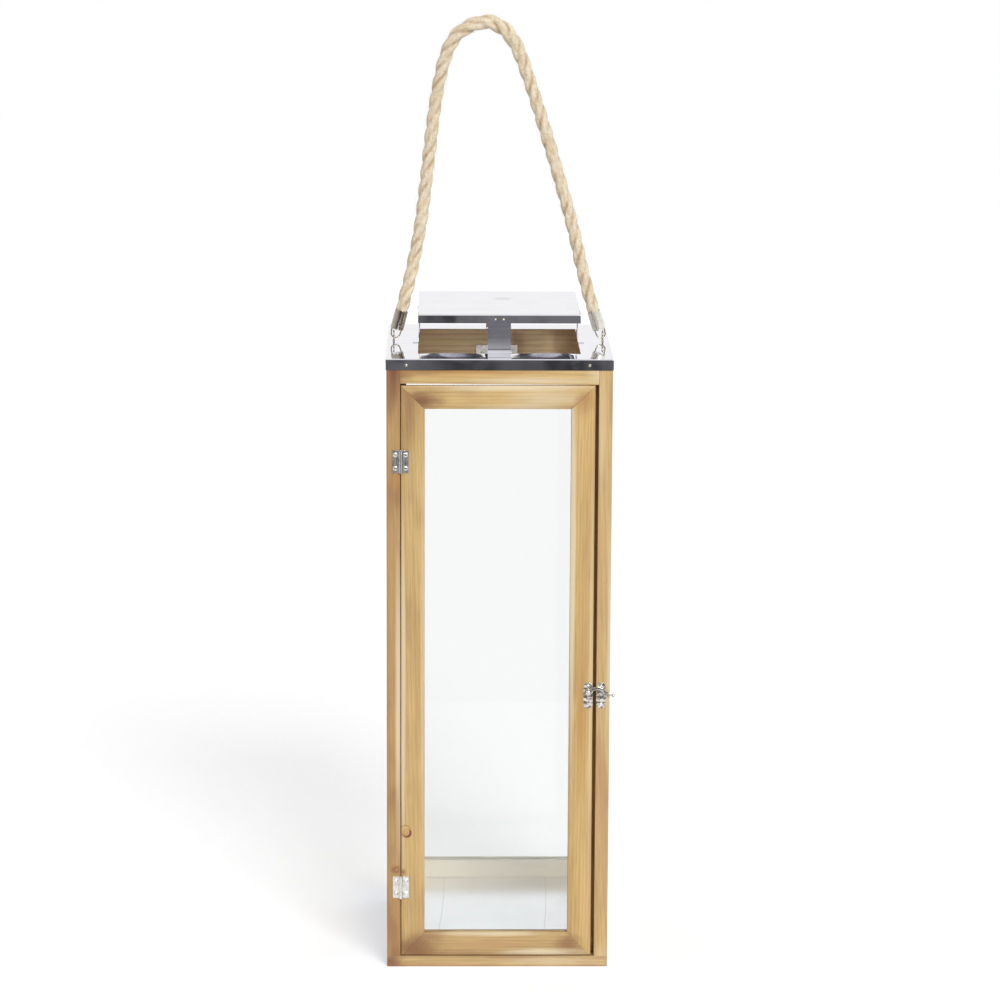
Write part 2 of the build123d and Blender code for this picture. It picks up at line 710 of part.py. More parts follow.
def sheet_tray(side, rim, top):
    """A square sheet with its four edges folded down."""
    tray = Pos(0, 0, top - rim / 2) * Box(side, side, rim)
    tray = fillet(tray.edges().filter_by(Axis.Z), SHEET_BEND)
    tray = fillet(tray.faces().sort_by(Axis.Z)[-1].edges(), SHEET_BEND)
    inside = side - 2 * SHEET
    return tray - Pos(0, 0, top - SHEET - rim / 2) * Box(inside, inside, rim)


def strap(foot):
    """A strap at the front: a foot on the roof, bent up inside the rim of the cap."""
    inner_face = STRAP_FACE + STRAP_SHEET
    foot_end = -VENT_SIDE / 2 - foot
    strap_top = CAP_TOP - SHEET - STRAP_HEADROOM
    foot_top = ROOF_TOP + STRAP_SHEET
    section = make_face(
        Polyline(
            (foot_end, ROOF_TOP),
            (inner_face, ROOF_TOP),
            (inner_face, strap_top),
            (STRAP_FACE, strap_top),
            (STRAP_FACE, foot_top),
            (foot_end, foot_top),
            close=True,
        )
    )
    outer_bend = section.vertices().sort_by_distance((inner_face, ROOF_TOP))[0]
    section = fillet(outer_bend, STRAP_BEND + STRAP_SHEET)
    inner_bend = section.vertices().sort_by_distance((STRAP_FACE, foot_top))[0]
    section = fillet(inner_bend, STRAP_BEND)
    return extrude(Plane.YZ * section, amount=STRAP_WIDTH / 2, both=True)


def rivet():
    """A rivet through the rim and the strap, headed on both sides, with its seat at z = 0."""
    grip = SHEET + STRAP_SHEET
    head = domed_fastener(*RIVET_HEAD, RIVET_RADIUS, grip)
    tail = Pos(0, 0, -grip) * Rot(180, 0, 0) * domed_fastener(*RIVET_TAIL, RIVET_RADIUS, grip)
    return head + tail


nails = []
nail_holes = []
rivets = []
rivet_holes = []
for nail_x in (NAIL_LEFT, NAIL_RIGHT):
    nail_at = (nail_x, -ROOF_SIDE / 2, NAIL_Z)
    nails += quarter_turns(facing_front(*nail_at, domed_fastener(*NAIL)))
    nail_holes += quarter_turns(facing_front(*nail_at, shank_hole(NAIL[2], NAIL[3], FASTENER_PLAY)))
for side in (-1, 1):
    rivet_at = (side * RIVET_SPACING / 2, -CAP_SIDE / 2, RIVET_Z)
    rivets += quarter_turns(facing_front(*rivet_at, rivet()))
    grip_hole = shank_hole(RIVET_RADIUS, SHEET + STRAP_SHEET, FASTENER_PLAY)
    rivet_holes += quarter_turns(facing_front(*rivet_at, grip_hole))

roof = sheet_tray(ROOF_SIDE, ROOF_RIM, ROOF_TOP)
roof = roof - Pos(0, 0, ROOF_TOP) * Box(VENT_SIDE, VENT_SIDE, 2 * ROOF_RIM)
eye_holes = []
for side in (-1, 1):
    eye_hole = Cylinder(EYE_SHANK_RADIUS + FASTENER_PLAY, 2 * (EYE_SHANK_LENGTH + FASTENER_PLAY))
    eye_holes.append(Pos(side * EYE_X, 0, ROOF_TOP) * eye_hole)
parts["roof_tray"] = roof - nail_holes - eye_holes
parts["roof_nails"] = group(nails)
parts["cap_plate"] = sheet_tray(CAP_SIDE, CAP_RIM, CAP_TOP) - rivet_holes
front_strap, _, back_strap, _ = quarter_turns(strap(STRAP_FOOT))
_, right_strap, _, left_strap = quarter_turns(strap(SIDE_STRAP_FOOT))
parts["front_strap"] = front_strap - rivet_holes
parts["back_strap"] = back_strap - rivet_holes
parts["left_strap"] = left_strap - rivet_holes
parts["right_strap"] = right_strap - rivet_holes
parts["strap_rivets"] = group(rivets)
parts["front_top_rail"] -= nail_holes
parts["back_top_rail"] -= nail_holes
parts["left_top_rail"] = parts["left_top_rail"] - nail_holes - eye_holes
parts["right_top_rail"] = parts["right_top_rail"] - nail_holes - eye_holes

# Handle: screw eyes in the roof, bails through them, ferrules and the rope


def screw_eye(x):
    ring = Pos(x, 0, RING_Z) * Rot(0, 90, 0) * Torus(RING_RADIUS, RING_WIRE / 2)
    shank_top = RING_Z - RING_INNER / 2 - RING_WIRE / 2
    shank_bottom = ROOF_TOP - EYE_SHANK_LENGTH
    shank = Cylinder(EYE_SHANK_RADIUS, shank_top - shank_bottom, align=UPWARD)
    return ring + Pos(x, 0, shank_bottom) * shank


def bail():
    """The wire loop under a ferrule, whose end is at z = 0. Its legs spread towards the ferrule."""
    splay = radians(BAIL_SPLAY)
    bend_z = BAIL_BEND - BAIL_DEPTH
    touch = (BAIL_BEND * cos(splay), bend_z - BAIL_BEND * sin(splay))
    end_z = BAIL_WIRE
    end = (touch[0] + (end_z - touch[1]) * tan(splay), end_z)
    path = Line((-end[0], end_z), (-touch[0], touch[1]))
    path += ThreePointArc((-touch[0], touch[1]), (0, -BAIL_DEPTH), touch)
    path += Line(touch, end)
    start = Plane(origin=(-end[0], 0, end_z), z_dir=(sin(splay), 0, -cos(splay)))
    wire = sweep(start * Circle(BAIL_WIRE / 2), path=Plane.XZ * path)
    above = Box(4 * BAIL_BEND, BAIL_DEPTH, BAIL_DEPTH, align=UPWARD)
    return wire - above


def ferrule():
    """The crimped cup that holds a rope end."""
    cup = Cylinder(FERRULE_RADIUS, FERRULE_LENGTH, align=UPWARD)
    cup = fillet(cup.edges().sort_by(Axis.Z)[0], FERRULE_ROUND)
    bore = Cylinder(ROPE_RADIUS + ROPE_PLAY, FERRULE_LENGTH, align=UPWARD)
    return cup - Pos(0, 0, FERRULE_FLOOR) * bore


def handle_end(side, tilt):
    """Where a ferrule stands: its bail lies in the ring, off the middle, and it leans inwards."""
    lean = -side * radians(tilt)
    rise = BAIL_DEPTH - BAIL_BEND
    bend_rise = (BAIL_BEND**2 - BAIL_OFFSET**2) ** 0.5
    x = side * (EYE_X - BAIL_OFFSET) + rise * sin(lean)
    z = BAIL_AXIS_Z + bend_rise + rise * cos(lean)
    return Pos(x, 0, z) * Rot(0, degrees(lean), 0)


def along(end, height):
    """The point on a ferrule's own line, as (x, z)."""
    point = (end * Pos(0, 0, height)).position
    return (point.X, point.Z)


left_end = handle_end(-1, LEFT_TILT)
right_end = handle_end(1, RIGHT_TILT)
parts["left_screw_eye"] = screw_eye(-EYE_X)
parts["right_screw_eye"] = screw_eye(EYE_X)
parts["left_bail"] = left_end * bail()
parts["right_bail"] = right_end * bail()
parts["left_ferrule"] = left_end * ferrule()
parts["right_ferrule"] = right_end * ferrule()

lead_end = FERRULE_FLOOR + ROPE_LEAD
route = [along(left_end, FERRULE_FLOOR), along(left_end, lead_end)]
route += ROPE_ROUTE
route += [along(right_end, lead_end), along(right_end, FERRULE_FLOOR)]
route = [Vector(x, 0, z) for x, z in route]
rope_bends = []
for before, corner, after in zip(route, route[1:], route[2:]):
    shorter = min((corner - before).length, (after - corner).length)
    half_turn = radians((corner - before).get_angle(after - corner)) / 2
    rope_bends.append(ROPE_ARC_SHARE * shorter / tan(half_turn))
rope_path = FilletPolyline(*route, radius=rope_bends)
rope_start = Plane(origin=route[0], z_dir=(route[1] - route[0]).normalized())
rope = sweep(rope_start * Circle(ROPE_RADIUS), path=rope_path)
parts["rope_handle"] = rope
print("rope bend radii:", [round(bend) for bend in rope_bends])
print("rope length:", round(rope_path.length, 1))
section_volume = pi * ROPE_RADIUS**2 * rope_path.length
print("rope volume:", round(rope.volume), "section x length:", round(section_volume))

os.makedirs("parts", exist_ok=True)
for name, shape in parts.items():
    export_step(shape, f"parts/{name}.step")
print(len(parts), "nodes")
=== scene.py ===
import contextlib
import json
import math
import random
from dataclasses import dataclass

import bmesh
import bpy
from bpy.props import FloatProperty, FloatVectorProperty, IntProperty, PointerProperty
from mathutils import Matrix, Vector


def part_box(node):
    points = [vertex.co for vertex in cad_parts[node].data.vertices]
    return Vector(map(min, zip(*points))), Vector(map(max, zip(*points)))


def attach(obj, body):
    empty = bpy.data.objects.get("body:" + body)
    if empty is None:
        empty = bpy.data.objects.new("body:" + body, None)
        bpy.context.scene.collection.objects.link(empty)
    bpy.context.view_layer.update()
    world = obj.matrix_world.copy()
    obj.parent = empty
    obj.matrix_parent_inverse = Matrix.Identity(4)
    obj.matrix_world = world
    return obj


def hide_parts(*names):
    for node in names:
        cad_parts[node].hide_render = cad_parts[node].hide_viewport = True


bl_info = {
    "name": "Candle Lantern",
    "version": (1, 0, 0),
    "blender": (4, 5, 0),
    "location": "View3D > Sidebar > Lantern",
    "description": "Finishes a glazed candle lantern: oiled fir, polished roof, fittings and rope handle",
    "category": "Object",
}

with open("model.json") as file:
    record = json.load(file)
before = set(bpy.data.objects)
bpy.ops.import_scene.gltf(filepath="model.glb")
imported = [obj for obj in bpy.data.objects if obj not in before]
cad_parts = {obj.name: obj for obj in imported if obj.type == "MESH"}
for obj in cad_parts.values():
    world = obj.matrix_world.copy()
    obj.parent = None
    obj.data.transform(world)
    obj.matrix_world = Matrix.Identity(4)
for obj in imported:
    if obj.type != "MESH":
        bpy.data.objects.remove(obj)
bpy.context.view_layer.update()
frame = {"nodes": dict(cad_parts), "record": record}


def paint(red, green, blue):
    """A colour given in steps of 0 to 255, as the linear values that shaders take."""
    steps = (red / 255, green / 255, blue / 255)
    return tuple(((step + 0.055) / 1.055) ** 2.4 for step in steps)


def colour_setting(label, about, shade):
    return FloatVectorProperty(
        name=label, description=about, default=paint(*shade), min=0.0, max=1.0, size=3, subtype="COLOR"
    )


def length_setting(label, about, metres):
    return FloatProperty(name=label, description=about, default=metres, min=0.0, unit="LENGTH")


def angle_setting(label, about, degrees):
    return FloatProperty(name=label, description=about, default=math.radians(degrees), subtype="ANGLE")


def share_setting(label, about, share):
    return FloatProperty(name=label, description=about, default=share, min=0.0, max=1.0, subtype="FACTOR")


# Settings that a user would change


class LanternWood(bpy.types.PropertyGroup):
    """Oiled fir of the case and the door."""

    tan: colour_setting("Tan", "Main colour of the planed fir", (209, 178, 123))
    olive: colour_setting("Olive", "Yellow-green streaks along the grain", (199, 174, 109))
    rose: colour_setting("Rose", "Pinkish-brown streaks along the grain", (185, 143, 104))
    umber: colour_setting("Umber", "Late wood of the growth rings", (165, 116, 71))
    # Also used for the painted highlights along the eased edges and bevels of the posts, rails and door
    # frame, where they catch the light
    pale_and_highlight: colour_setting("Pale", "Bleached bands along planed edges", (226, 211, 180))
    # A grey-cream that the inner face and the top of the back bottom rail are painted with
    grey_cream: colour_setting("Bleached", "Greyed wood at the back", (203, 199, 186))
    amber: colour_setting("Amber", "Warm heartwood", (184, 138, 78))
    # Dark brown of the darker corners and the rubbed edges, and also the painted shadow that the strap and
    # the cap cast on the back top rail under the vent
    dark_brown_and_shadow: colour_setting("Singed", "Darkened corners", (126, 84, 60))
    knot: colour_setting("Knot", "Knots", (122, 66, 42))
    ring_spacing: length_setting("Ring spacing", "Distance from one growth ring to the next", 0.0046)
    edge_round: length_setting("Edge rounding", "Width of the eased edges", 0.0008)


class LanternMetal(bpy.types.PropertyGroup):
    """Sheet metal and fittings."""

    mirror: colour_setting("Mirror steel", "Polished roof, cap and straps", (232, 232, 238))
    satin: colour_setting("Satin steel", "Floor sheet", (244, 245, 247))
    zinc: colour_setting("Zinc", "Hinges, their screws and the plate in the roof", (230, 229, 225))
    nickel: colour_setting("Nickel", "Latch", (242, 237, 228))
    worn_nickel: colour_setting("Worn nickel", "Ferrules, bails and screw eyes", (182, 174, 159))
    tarnish: colour_setting("Tarnish", "Dull film in corners of the fittings", (96, 88, 76))


class LanternGlass(bpy.types.PropertyGroup):
    """Clear panes."""

    tint: colour_setting("Tint", "Colour of the clear glass", (249, 250, 250))
    edge_round: length_setting("Seamed edge", "Width of the ground edge of a pane", 0.0003)


class LanternRope(bpy.types.PropertyGroup):
    """Three-strand rope of the handle."""

    diameter: length_setting("Diameter", "Thickness over the strands", 0.0143)
    lay: length_setting("Lay", "Length in which a strand goes round once", 0.060)
    strand_share: share_setting("Strand size", "Radius of a strand as a share of the rope's radius", 0.60)
    fibre_count: IntProperty(name="Fibres", description="Loose fibres off the rope", default=900, min=0)
    fibre_length: length_setting("Fibre length", "Longest loose fibre", 0.011)
    flax: colour_setting("Flax", "Main colour of the rope", (235, 224, 202))
    straw: colour_setting("Straw", "Darker yarns of the rope", (215, 191, 154))
    hollow: colour_setting("Hollow", "Grooves between the strands", (164, 130, 88))
    blush: colour_setting("Blush", "Ruddy fibres in the yarns", (222, 189, 158))
    green: colour_setting("Green", "Unripe fibres in the yarns", (206, 188, 140))


class LanternStage(bpy.types.PropertyGroup):
    """White studio round the lantern."""

    key_level: FloatProperty(name="Key level", description="Light from the lamp", default=1.9, min=0.0)
    key_breadth: angle_setting("Key breadth", "How broad the lamp looks, which softens the shadow", 26.0)
    key_side: angle_setting("Key side", "How far to the right of the front the lamp stands", 21.0)
    key_height: angle_setting("Key height", "How far above the ground the lamp stands", 33.0)
    ambient: share_setting("Ambient", "Level of the light from all round", 0.62)
    floor_white: share_setting("Floor", "Colour of the floor", 0.80)
    floor_lift: share_setting("Floor lift", "Added to the floor as the camera and the metal see it", 0.30)


# Shader building


WHITE = (1.0, 1.0, 1.0, 1.0)
EVEN = (1.0, 1.0, 1.0)
NO_PLACE = (0.0, 0.0, 0.0)


def rgba(colour):
    return (*colour, 1.0)


def tinted(colour, tint):
    """A colour with each of its parts made stronger or weaker."""
    return rgba([shade * share for shade, share in zip(colour, tint)])


def feed_node(tree, node, feed):
    """Gives the inputs of a node values or links."""
    for socket, value in feed.items():
        if isinstance(value, bpy.types.NodeSocket):
            tree.links.new(value, node.inputs[socket])
        else:
            node.inputs[socket].default_value = value


def add_node(tree, kind, feed=None, **options):
    """Adds a shader node, sets its options and feeds its inputs."""
    made = tree.nodes.new("ShaderNode" + kind)
    for option, value in options.items():
        setattr(made, option, value)
    feed_node(tree, made, feed or {})
    return made


def calc(tree, operation, *terms):
    return add_node(tree, "Math", dict(enumerate(terms)), operation=operation).outputs[0]


def fold(tree, operation, terms):
    """One operation worked through several terms."""
    so_far, *others = terms
    for term in others:
        so_far = calc(tree, operation, so_far, term)
    return so_far


def calc_vector(tree, operation, *terms):
    return add_node(tree, "VectorMath", dict(enumerate(terms)), operation=operation).outputs[0]


def length_of(tree, offset):
    return add_node(tree, "VectorMath", {0: offset}, operation="LENGTH").outputs["Value"]


def split_axes(tree, place):
    return add_node(tree, "SeparateXYZ", {0: place}).outputs


def blend_colour(tree, share, under, over, way="MIX"):
    feed = {0: share, 6: under, 7: over}
    return add_node(tree, "Mix", feed, data_type="RGBA", blend_type=way).outputs[2]


def remap(tree, value, low, high, to_low=0.0, to_high=1.0):
    """Takes low..high to the new range with a soft start and end, and holds it there."""
    feed = {0: value, 1: low, 2: high, 3: to_low, 4: to_high}
    return add_node(tree, "MapRange", feed, interpolation_type="SMOOTHSTEP").outputs[0]


def noise(tree, place, scale, detail=2.0, roughness=0.5):
    feed = {"Vector": place, "Scale": scale, "Detail": detail, "Roughness": roughness}
    return add_node(tree, "TexNoise", feed).outputs[0]


def start_group(name, takes, gives):
    """An empty node group with its named sockets, and the ends to work from."""
    group = bpy.data.node_groups.new(name, "ShaderNodeTree")
    for socket, kind, value in takes:
        made = group.interface.new_socket(socket, in_out="INPUT", socket_type="NodeSocket" + kind)
        made.default_value = value
    for socket, kind in gives:
        group.interface.new_socket(socket, in_out="OUTPUT", socket_type="NodeSocket" + kind)
    return group, group.nodes.new("NodeGroupInput").outputs, group.nodes.new("NodeGroupOutput")


def use_group(tree, name, feed):
    return add_node(tree, "Group", feed, node_tree=bpy.data.node_groups[name])


def start_material(name):
    """A new material, its tree, its Principled shader and its object coordinates."""
    made = bpy.data.materials.new(name)
    made.use_nodes = True
    tree = made.node_tree
    shader = tree.nodes["Principled BSDF"]
    place = add_node(tree, "TexCoord").outputs["Object"]
    return made, tree, shader, place


def bump(tree, height, strength, distance, over=None):
    """A normal bent by a height, on top of another one where it is given."""
    feed = {"Height": height, "Strength": strength, "Distance": distance}
    if over:
        feed["Normal"] = over
    return add_node(tree, "Bump", feed).outputs[0]


# How far the noises are drawn out along the grain, and how the rings lean and sway
STREAK_DRAW = (1.0, 1.0, 0.05)
BLOTCH_DRAW = (1.0, 1.0, 0.3)
FIBRE_DRAW = (1.0, 1.0, 0.022)
BAND_SHIFT = (3.1, 1.7, 0.4)
RING_LEAN = 0.55
RING_SWAY = 0.034


def make_fir_grain():
    """Growth rings, streaks and fibres of sawn fir. The grain runs along Z."""
    takes = [("Vector", "Vector", NO_PLACE)]
    takes += [(colour, "Color", WHITE) for colour in ("Tan", "Olive", "Rose", "Umber")]
    takes += [("Ring Spacing", "Float", 0.0046), ("Olive Share", "Float", 0.5)]
    takes += [("Rose Share", "Float", 0.5), ("Ring Share", "Float", 0.4)]
    gives = [("Color", "Color"), ("Height", "Float"), ("Late Wood", "Float")]
    group, take, give = start_group("fir_grain", takes, gives)
    place = take["Vector"]
    drawn = calc_vector(group, "MULTIPLY", place, STREAK_DRAW)
    axes = split_axes(group, place)
    leaning = calc(group, "MULTIPLY_ADD", axes[1], RING_LEAN, axes[0])
    sway = calc(group, "SUBTRACT", noise(group, drawn, 16.0, 1.0), 0.5)
    across = calc(group, "MULTIPLY_ADD", sway, RING_SWAY, leaning)
    ring = calc(group, "FRACT", calc(group, "DIVIDE", across, take["Ring Spacing"]))
    rising = remap(group, ring, 0.3, 0.85)
    falling = remap(group, ring, 0.86, 1.0, 1.0, 0.0)
    late_wood = calc(group, "MULTIPLY", rising, falling)
    streaks = noise(group, drawn, 120.0, 3.0, 0.6)
    bands = noise(group, calc_vector(group, "ADD", drawn, BAND_SHIFT), 62.0, 2.0)
    blotches = noise(group, calc_vector(group, "MULTIPLY", place, BLOTCH_DRAW), 38.0, 2.0)
    fibres = noise(group, calc_vector(group, "MULTIPLY", place, FIBRE_DRAW), 1300.0, 2.0, 0.6)
    olive = calc(group, "MULTIPLY", remap(group, streaks, 0.46, 0.66), take["Olive Share"])
    reddened = calc(group, "MAXIMUM", remap(group, bands, 0.47, 0.68), remap(group, blotches, 0.52, 0.72))
    rose = calc(group, "MULTIPLY", reddened, take["Rose Share"])
    ringed = calc(group, "MULTIPLY", late_wood, take["Ring Share"])
    colour = blend_colour(group, olive, take["Tan"], take["Olive"])
    colour = blend_colour(group, rose, colour, take["Rose"])
    colour = blend_colour(group, ringed, colour, take["Umber"])
    shade = remap(group, fibres, 0.3, 0.7, 0.88, 1.07)
    shade = calc(group, "MULTIPLY", shade, remap(group, blotches, 0.3, 0.7, 1.04, 0.95))
    tone = add_node(group, "CombineColor", {0: shade, 1: shade, 2: shade}).outputs[0]
    feed = {
        "Color": blend_colour(group, 1.0, colour, tone, "MULTIPLY"),
        "Height": calc(group, "MULTIPLY_ADD", late_wood, 0.6, fibres),
        "Late Wood": late_wood,
    }
    feed_node(group, give, feed)


def make_rubbed_edges():
    """Mask of the edges of a bar, from its box, broken up by noise."""
    takes = [(name, "Vector", NO_PLACE) for name in ("Vector", "Centre", "Half Size")]
    takes += [("Reach", "Float", 0.004), ("Grain Stretch", "Vector", EVEN)]
    group, take, give = start_group("rubbed_edges", takes, [("Mask", "Float")])
    shifted = calc_vector(group, "SUBTRACT", take["Vector"], take["Centre"])
    offset = calc_vector(group, "ABSOLUTE", shifted)
    depth = split_axes(group, calc_vector(group, "SUBTRACT", take["Half Size"], offset))
    lowest = fold(group, "MINIMUM", depth)
    highest = fold(group, "MAXIMUM", depth)
    middle = fold(group, "SUBTRACT", (fold(group, "ADD", depth), lowest, highest))
    place = calc_vector(group, "MULTIPLY", take["Vector"], take["Grain Stretch"])
    patches = remap(group, noise(group, place, 55.0, 3.0, 0.6), 0.34, 0.7, 0.15, 1.6)
    reach = calc(group, "MULTIPLY", take["Reach"], patches)
    mask = calc(group, "SUBTRACT", 1.0, calc(group, "DIVIDE", middle, reach))
    feed_node(group, give, {"Mask": add_node(group, "Clamp", {0: mask}).outputs[0]})


def make_soft_patch():
    """Mask of one soft-edged patch."""
    takes = [(name, "Vector", NO_PLACE) for name in ("Vector", "Centre")]
    takes += [("Size", "Vector", (0.01, 0.01, 0.01))]
    takes += [("Softness", "Float", 0.6), ("Raggedness", "Float", 0.5)]
    group, take, give = start_group("soft_patch", takes, [("Mask", "Float")])
    shifted = calc_vector(group, "SUBTRACT", take["Vector"], take["Centre"])
    offset = calc_vector(group, "DIVIDE", shifted, take["Size"])
    ragged = noise(group, calc_vector(group, "ADD", offset, take["Centre"]), 2.6, 3.0)
    ragged = calc(group, "SUBTRACT", ragged, 0.5)
    reach = calc(group, "MULTIPLY_ADD", ragged, take["Raggedness"], length_of(group, offset))
    inner = calc(group, "SUBTRACT", 1.0, take["Softness"])
    feed_node(group, give, {"Mask": remap(group, reach, inner, 1.0, 1.0, 0.0)})


def make_handling():
    """Fine scratches and finger film on metal."""
    takes = [("Vector", "Vector", NO_PLACE), ("Stretch", "Vector", EVEN)]
    takes += [("Scratch Scale", "Float", 900.0), ("Film Scale", "Float", 24.0)]
    group, take, give = start_group("handling", takes, [("Scratches", "Float"), ("Film", "Float")])
    drawn = calc_vector(group, "MULTIPLY", take["Vector"], take["Stretch"])
    scratches = noise(group, drawn, take["Scratch Scale"], 3.0, 0.7)
    film = noise(group, take["Vector"], take["Film Scale"], 4.0, 0.6)
    feed_node(group, give, {"Scratches": scratches, "Film": remap(group, film, 0.35, 0.75)})


def make_shader_groups():
    make_fir_grain()
    make_rubbed_edges()
    make_soft_patch()
    make_handling()


# Mesh handling


def take_up(piece):
    """Leaves only this piece selected and active."""
    if bpy.context.object and bpy.context.object.mode != "OBJECT":
        bpy.ops.object.mode_set(mode="OBJECT")
    bpy.ops.object.select_all(action="DESELECT")
    piece.select_set(True)
    bpy.context.view_layer.objects.active = piece


def put_down(name):
    """The active object after a primitive was added, named, with its place in its mesh."""
    piece = bpy.context.object
    piece.name = name
    piece.data.name = name
    bpy.ops.object.transform_apply(location=True, rotation=True, scale=True)
    return piece


@contextlib.contextmanager
def edit_mode(piece):
    """Edit mode on one piece and back, with its mesh to work on."""
    take_up(piece)
    bpy.ops.object.mode_set(mode="EDIT")
    yield bmesh.from_edit_mesh(piece.data)
    bpy.ops.object.mode_set(mode="OBJECT")


def slice_across(mesh, direction, marks):
    """Cuts a mesh along planes that stand square to a direction."""
    for mark in marks:
        everything = mesh.verts[:] + mesh.edges[:] + mesh.faces[:]
        bmesh.ops.bisect_plane(mesh, geom=everything, plane_co=direction * mark, plane_no=direction)


def smooth_curve(name, route):
    """A curve object with one smooth spline that has the route's points as its control points."""
    curve = bpy.data.curves.new(name, "CURVE")
    curve.dimensions = "3D"
    spline = curve.splines.new("NURBS")
    spline.points.add(len(route) - 1)
    for point, place in zip(spline.points, route):
        point.co = (*place, 1.0)
    spline.order_u = 3
    spline.use_endpoint_u = True
    holder = bpy.data.objects.new(name, curve)
    bpy.context.scene.collection.objects.link(holder)
    return holder


# Metres within which points merge, and degrees within which faces are flat or shade smoothly
MERGE_WITHIN = 0.000002
FLAT_WITHIN = 0.4
SMOOTH_BELOW = 46.0


def copy_of_node(node, finish):
    """A new piece, named for its node and finish, with its own merged copy of the node's mesh."""
    name = node + "_" + finish
    piece = bpy.data.objects.new(name, frame["nodes"][node].data.copy())
    piece.data.name = name
    bpy.context.scene.collection.objects.link(piece)
    with edit_mode(piece):
        bpy.ops.mesh.select_all(action="SELECT")
        bpy.ops.mesh.remove_doubles(threshold=MERGE_WITHIN)
        bpy.ops.mesh.dissolve_limited(angle_limit=math.radians(FLAT_WITHIN))
    bpy.ops.mesh.customdata_custom_splitnormals_clear()
    return piece


def settle_normals(piece):
    """Smooth shading that leaves large faces flat and real corners sharp."""
    bpy.ops.mesh.customdata_custom_splitnormals_clear()
    bpy.ops.object.shade_smooth_by_angle(angle=math.radians(SMOOTH_BELOW))
    weighted = piece.modifiers.new("flat_faces", "WEIGHTED_NORMAL")
    weighted.keep_sharp = True
    bpy.ops.object.modifier_apply(modifier=weighted.name)


def ease_edges(piece, width, segments, shortest, corner=30.0):
    """Bevels the outer edges that are long enough and turn enough."""
    with edit_mode(piece) as mesh:
        bpy.ops.mesh.select_mode(type="EDGE")
        bpy.ops.mesh.select_all(action="DESELECT")
        for edge in mesh.edges:
            turns = edge.is_manifold and edge.is_convex and edge.calc_face_angle() > math.radians(corner)
            edge.select = turns and edge.calc_length() > shortest
        bmesh.update_edit_mesh(piece.data)
        bpy.ops.mesh.bevel(offset=width, segments=segments, affect="EDGES", clamp_overlap=True)
    settle_normals(piece)


def body_of(node):
    for body, members in frame["record"]["behaviour"]["bodies"].items():
        if node in members:
            return body
    raise RuntimeError("no body holds " + node)


def finish_piece(piece, material, node):
    """Gives a piece its material, puts it on the body of the node that it stands for, and hides that node."""
    piece.data.materials.clear()
    piece.data.materials.append(material)
    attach(piece, body_of(node))
    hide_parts(node)


def finish_nodes(material, *nodes):
    """Gives CAD nodes that stay a better material."""
    for node in nodes:
        for holder in frame["nodes"][node].material_slots:
            holder.material = material


# Wood

GRAIN_TURN = {"X": (0.0, math.pi / 2, 0.0), "Y": (math.pi / 2, 0.0, 0.0), "Z": (0.0, 0.0, 0.0)}
GRAIN_STRETCH = {"X": (0.08, 1.0, 1.0), "Y": (1.0, 0.08, 1.0), "Z": (1.0, 1.0, 0.08)}
SLIDE_SHARES = (1.0, 0.37, 1.9)
RUBBED_REACH = 0.0042


@dataclass
class SoftPatch:
    """A patch on a piece of wood: where it is, how large, its colour and how strong. Spots of staining,
    painted highlights and painted shadows all are such patches.
    """

    centre: tuple
    size: tuple
    colour: tuple
    strength: float
    softness: float
    raggedness: float


@dataclass
class Board:
    """How one wooden piece is sawn and coloured."""

    grain: str
    slide: float
    olive: float
    rose: float
    rings: float
    rubbed: float
    tint: tuple = EVEN
    soft_patches: tuple = ()
    lean: float = 0.0


# Plane of the case's front, and how deep a patch reaches into the wood
FRONT_FACE = -0.1247
PATCH_DEPTH = 0.03


def patch(x, z, wide, tall, colour, strength, softness=0.95, raggedness=0.55):
    """A patch on the front of the lantern, placed by its middle and half sizes in millimetres. Spots of
    staining and painted highlights are both made this way.
    """
    centre = (x / 1000, FRONT_FACE, z / 1000)
    size = (wide / 1000, PATCH_DEPTH, tall / 1000)
    return SoftPatch(centre, size, tuple(colour), strength, softness, raggedness)


def knot_eye(x, z, wide, tall):
    """The patches of a knot seen end on: a dark rim round a paler eye, and a fainter rim above."""
    wood = bpy.context.scene.lantern_wood
    return (
        patch(x - 1.4, z + 2.8, wide * 1.1, tall * 1.3, wood.knot, 0.45, 0.25, 0.4),
        patch(x - 1.6, z + 2.4, wide * 0.96, tall * 1.1, wood.tan, 0.9, 0.25, 0.4),
        patch(x, z, wide, tall, wood.knot, 1.0, 0.25, 0.4),
        patch(x - 1.2, z + 1.1, wide * 0.8, tall * 0.86, wood.tan, 0.8, 0.3, 0.4),
        patch(x - 1.4, z + 0.2, wide * 0.55, tall * 0.5, wood.umber, 0.6, 0.4, 0.4),
        patch(x - 1.6, z + 0.6, wide * 0.42, tall * 0.32, wood.tan, 0.6, 0.4, 0.4),
    )


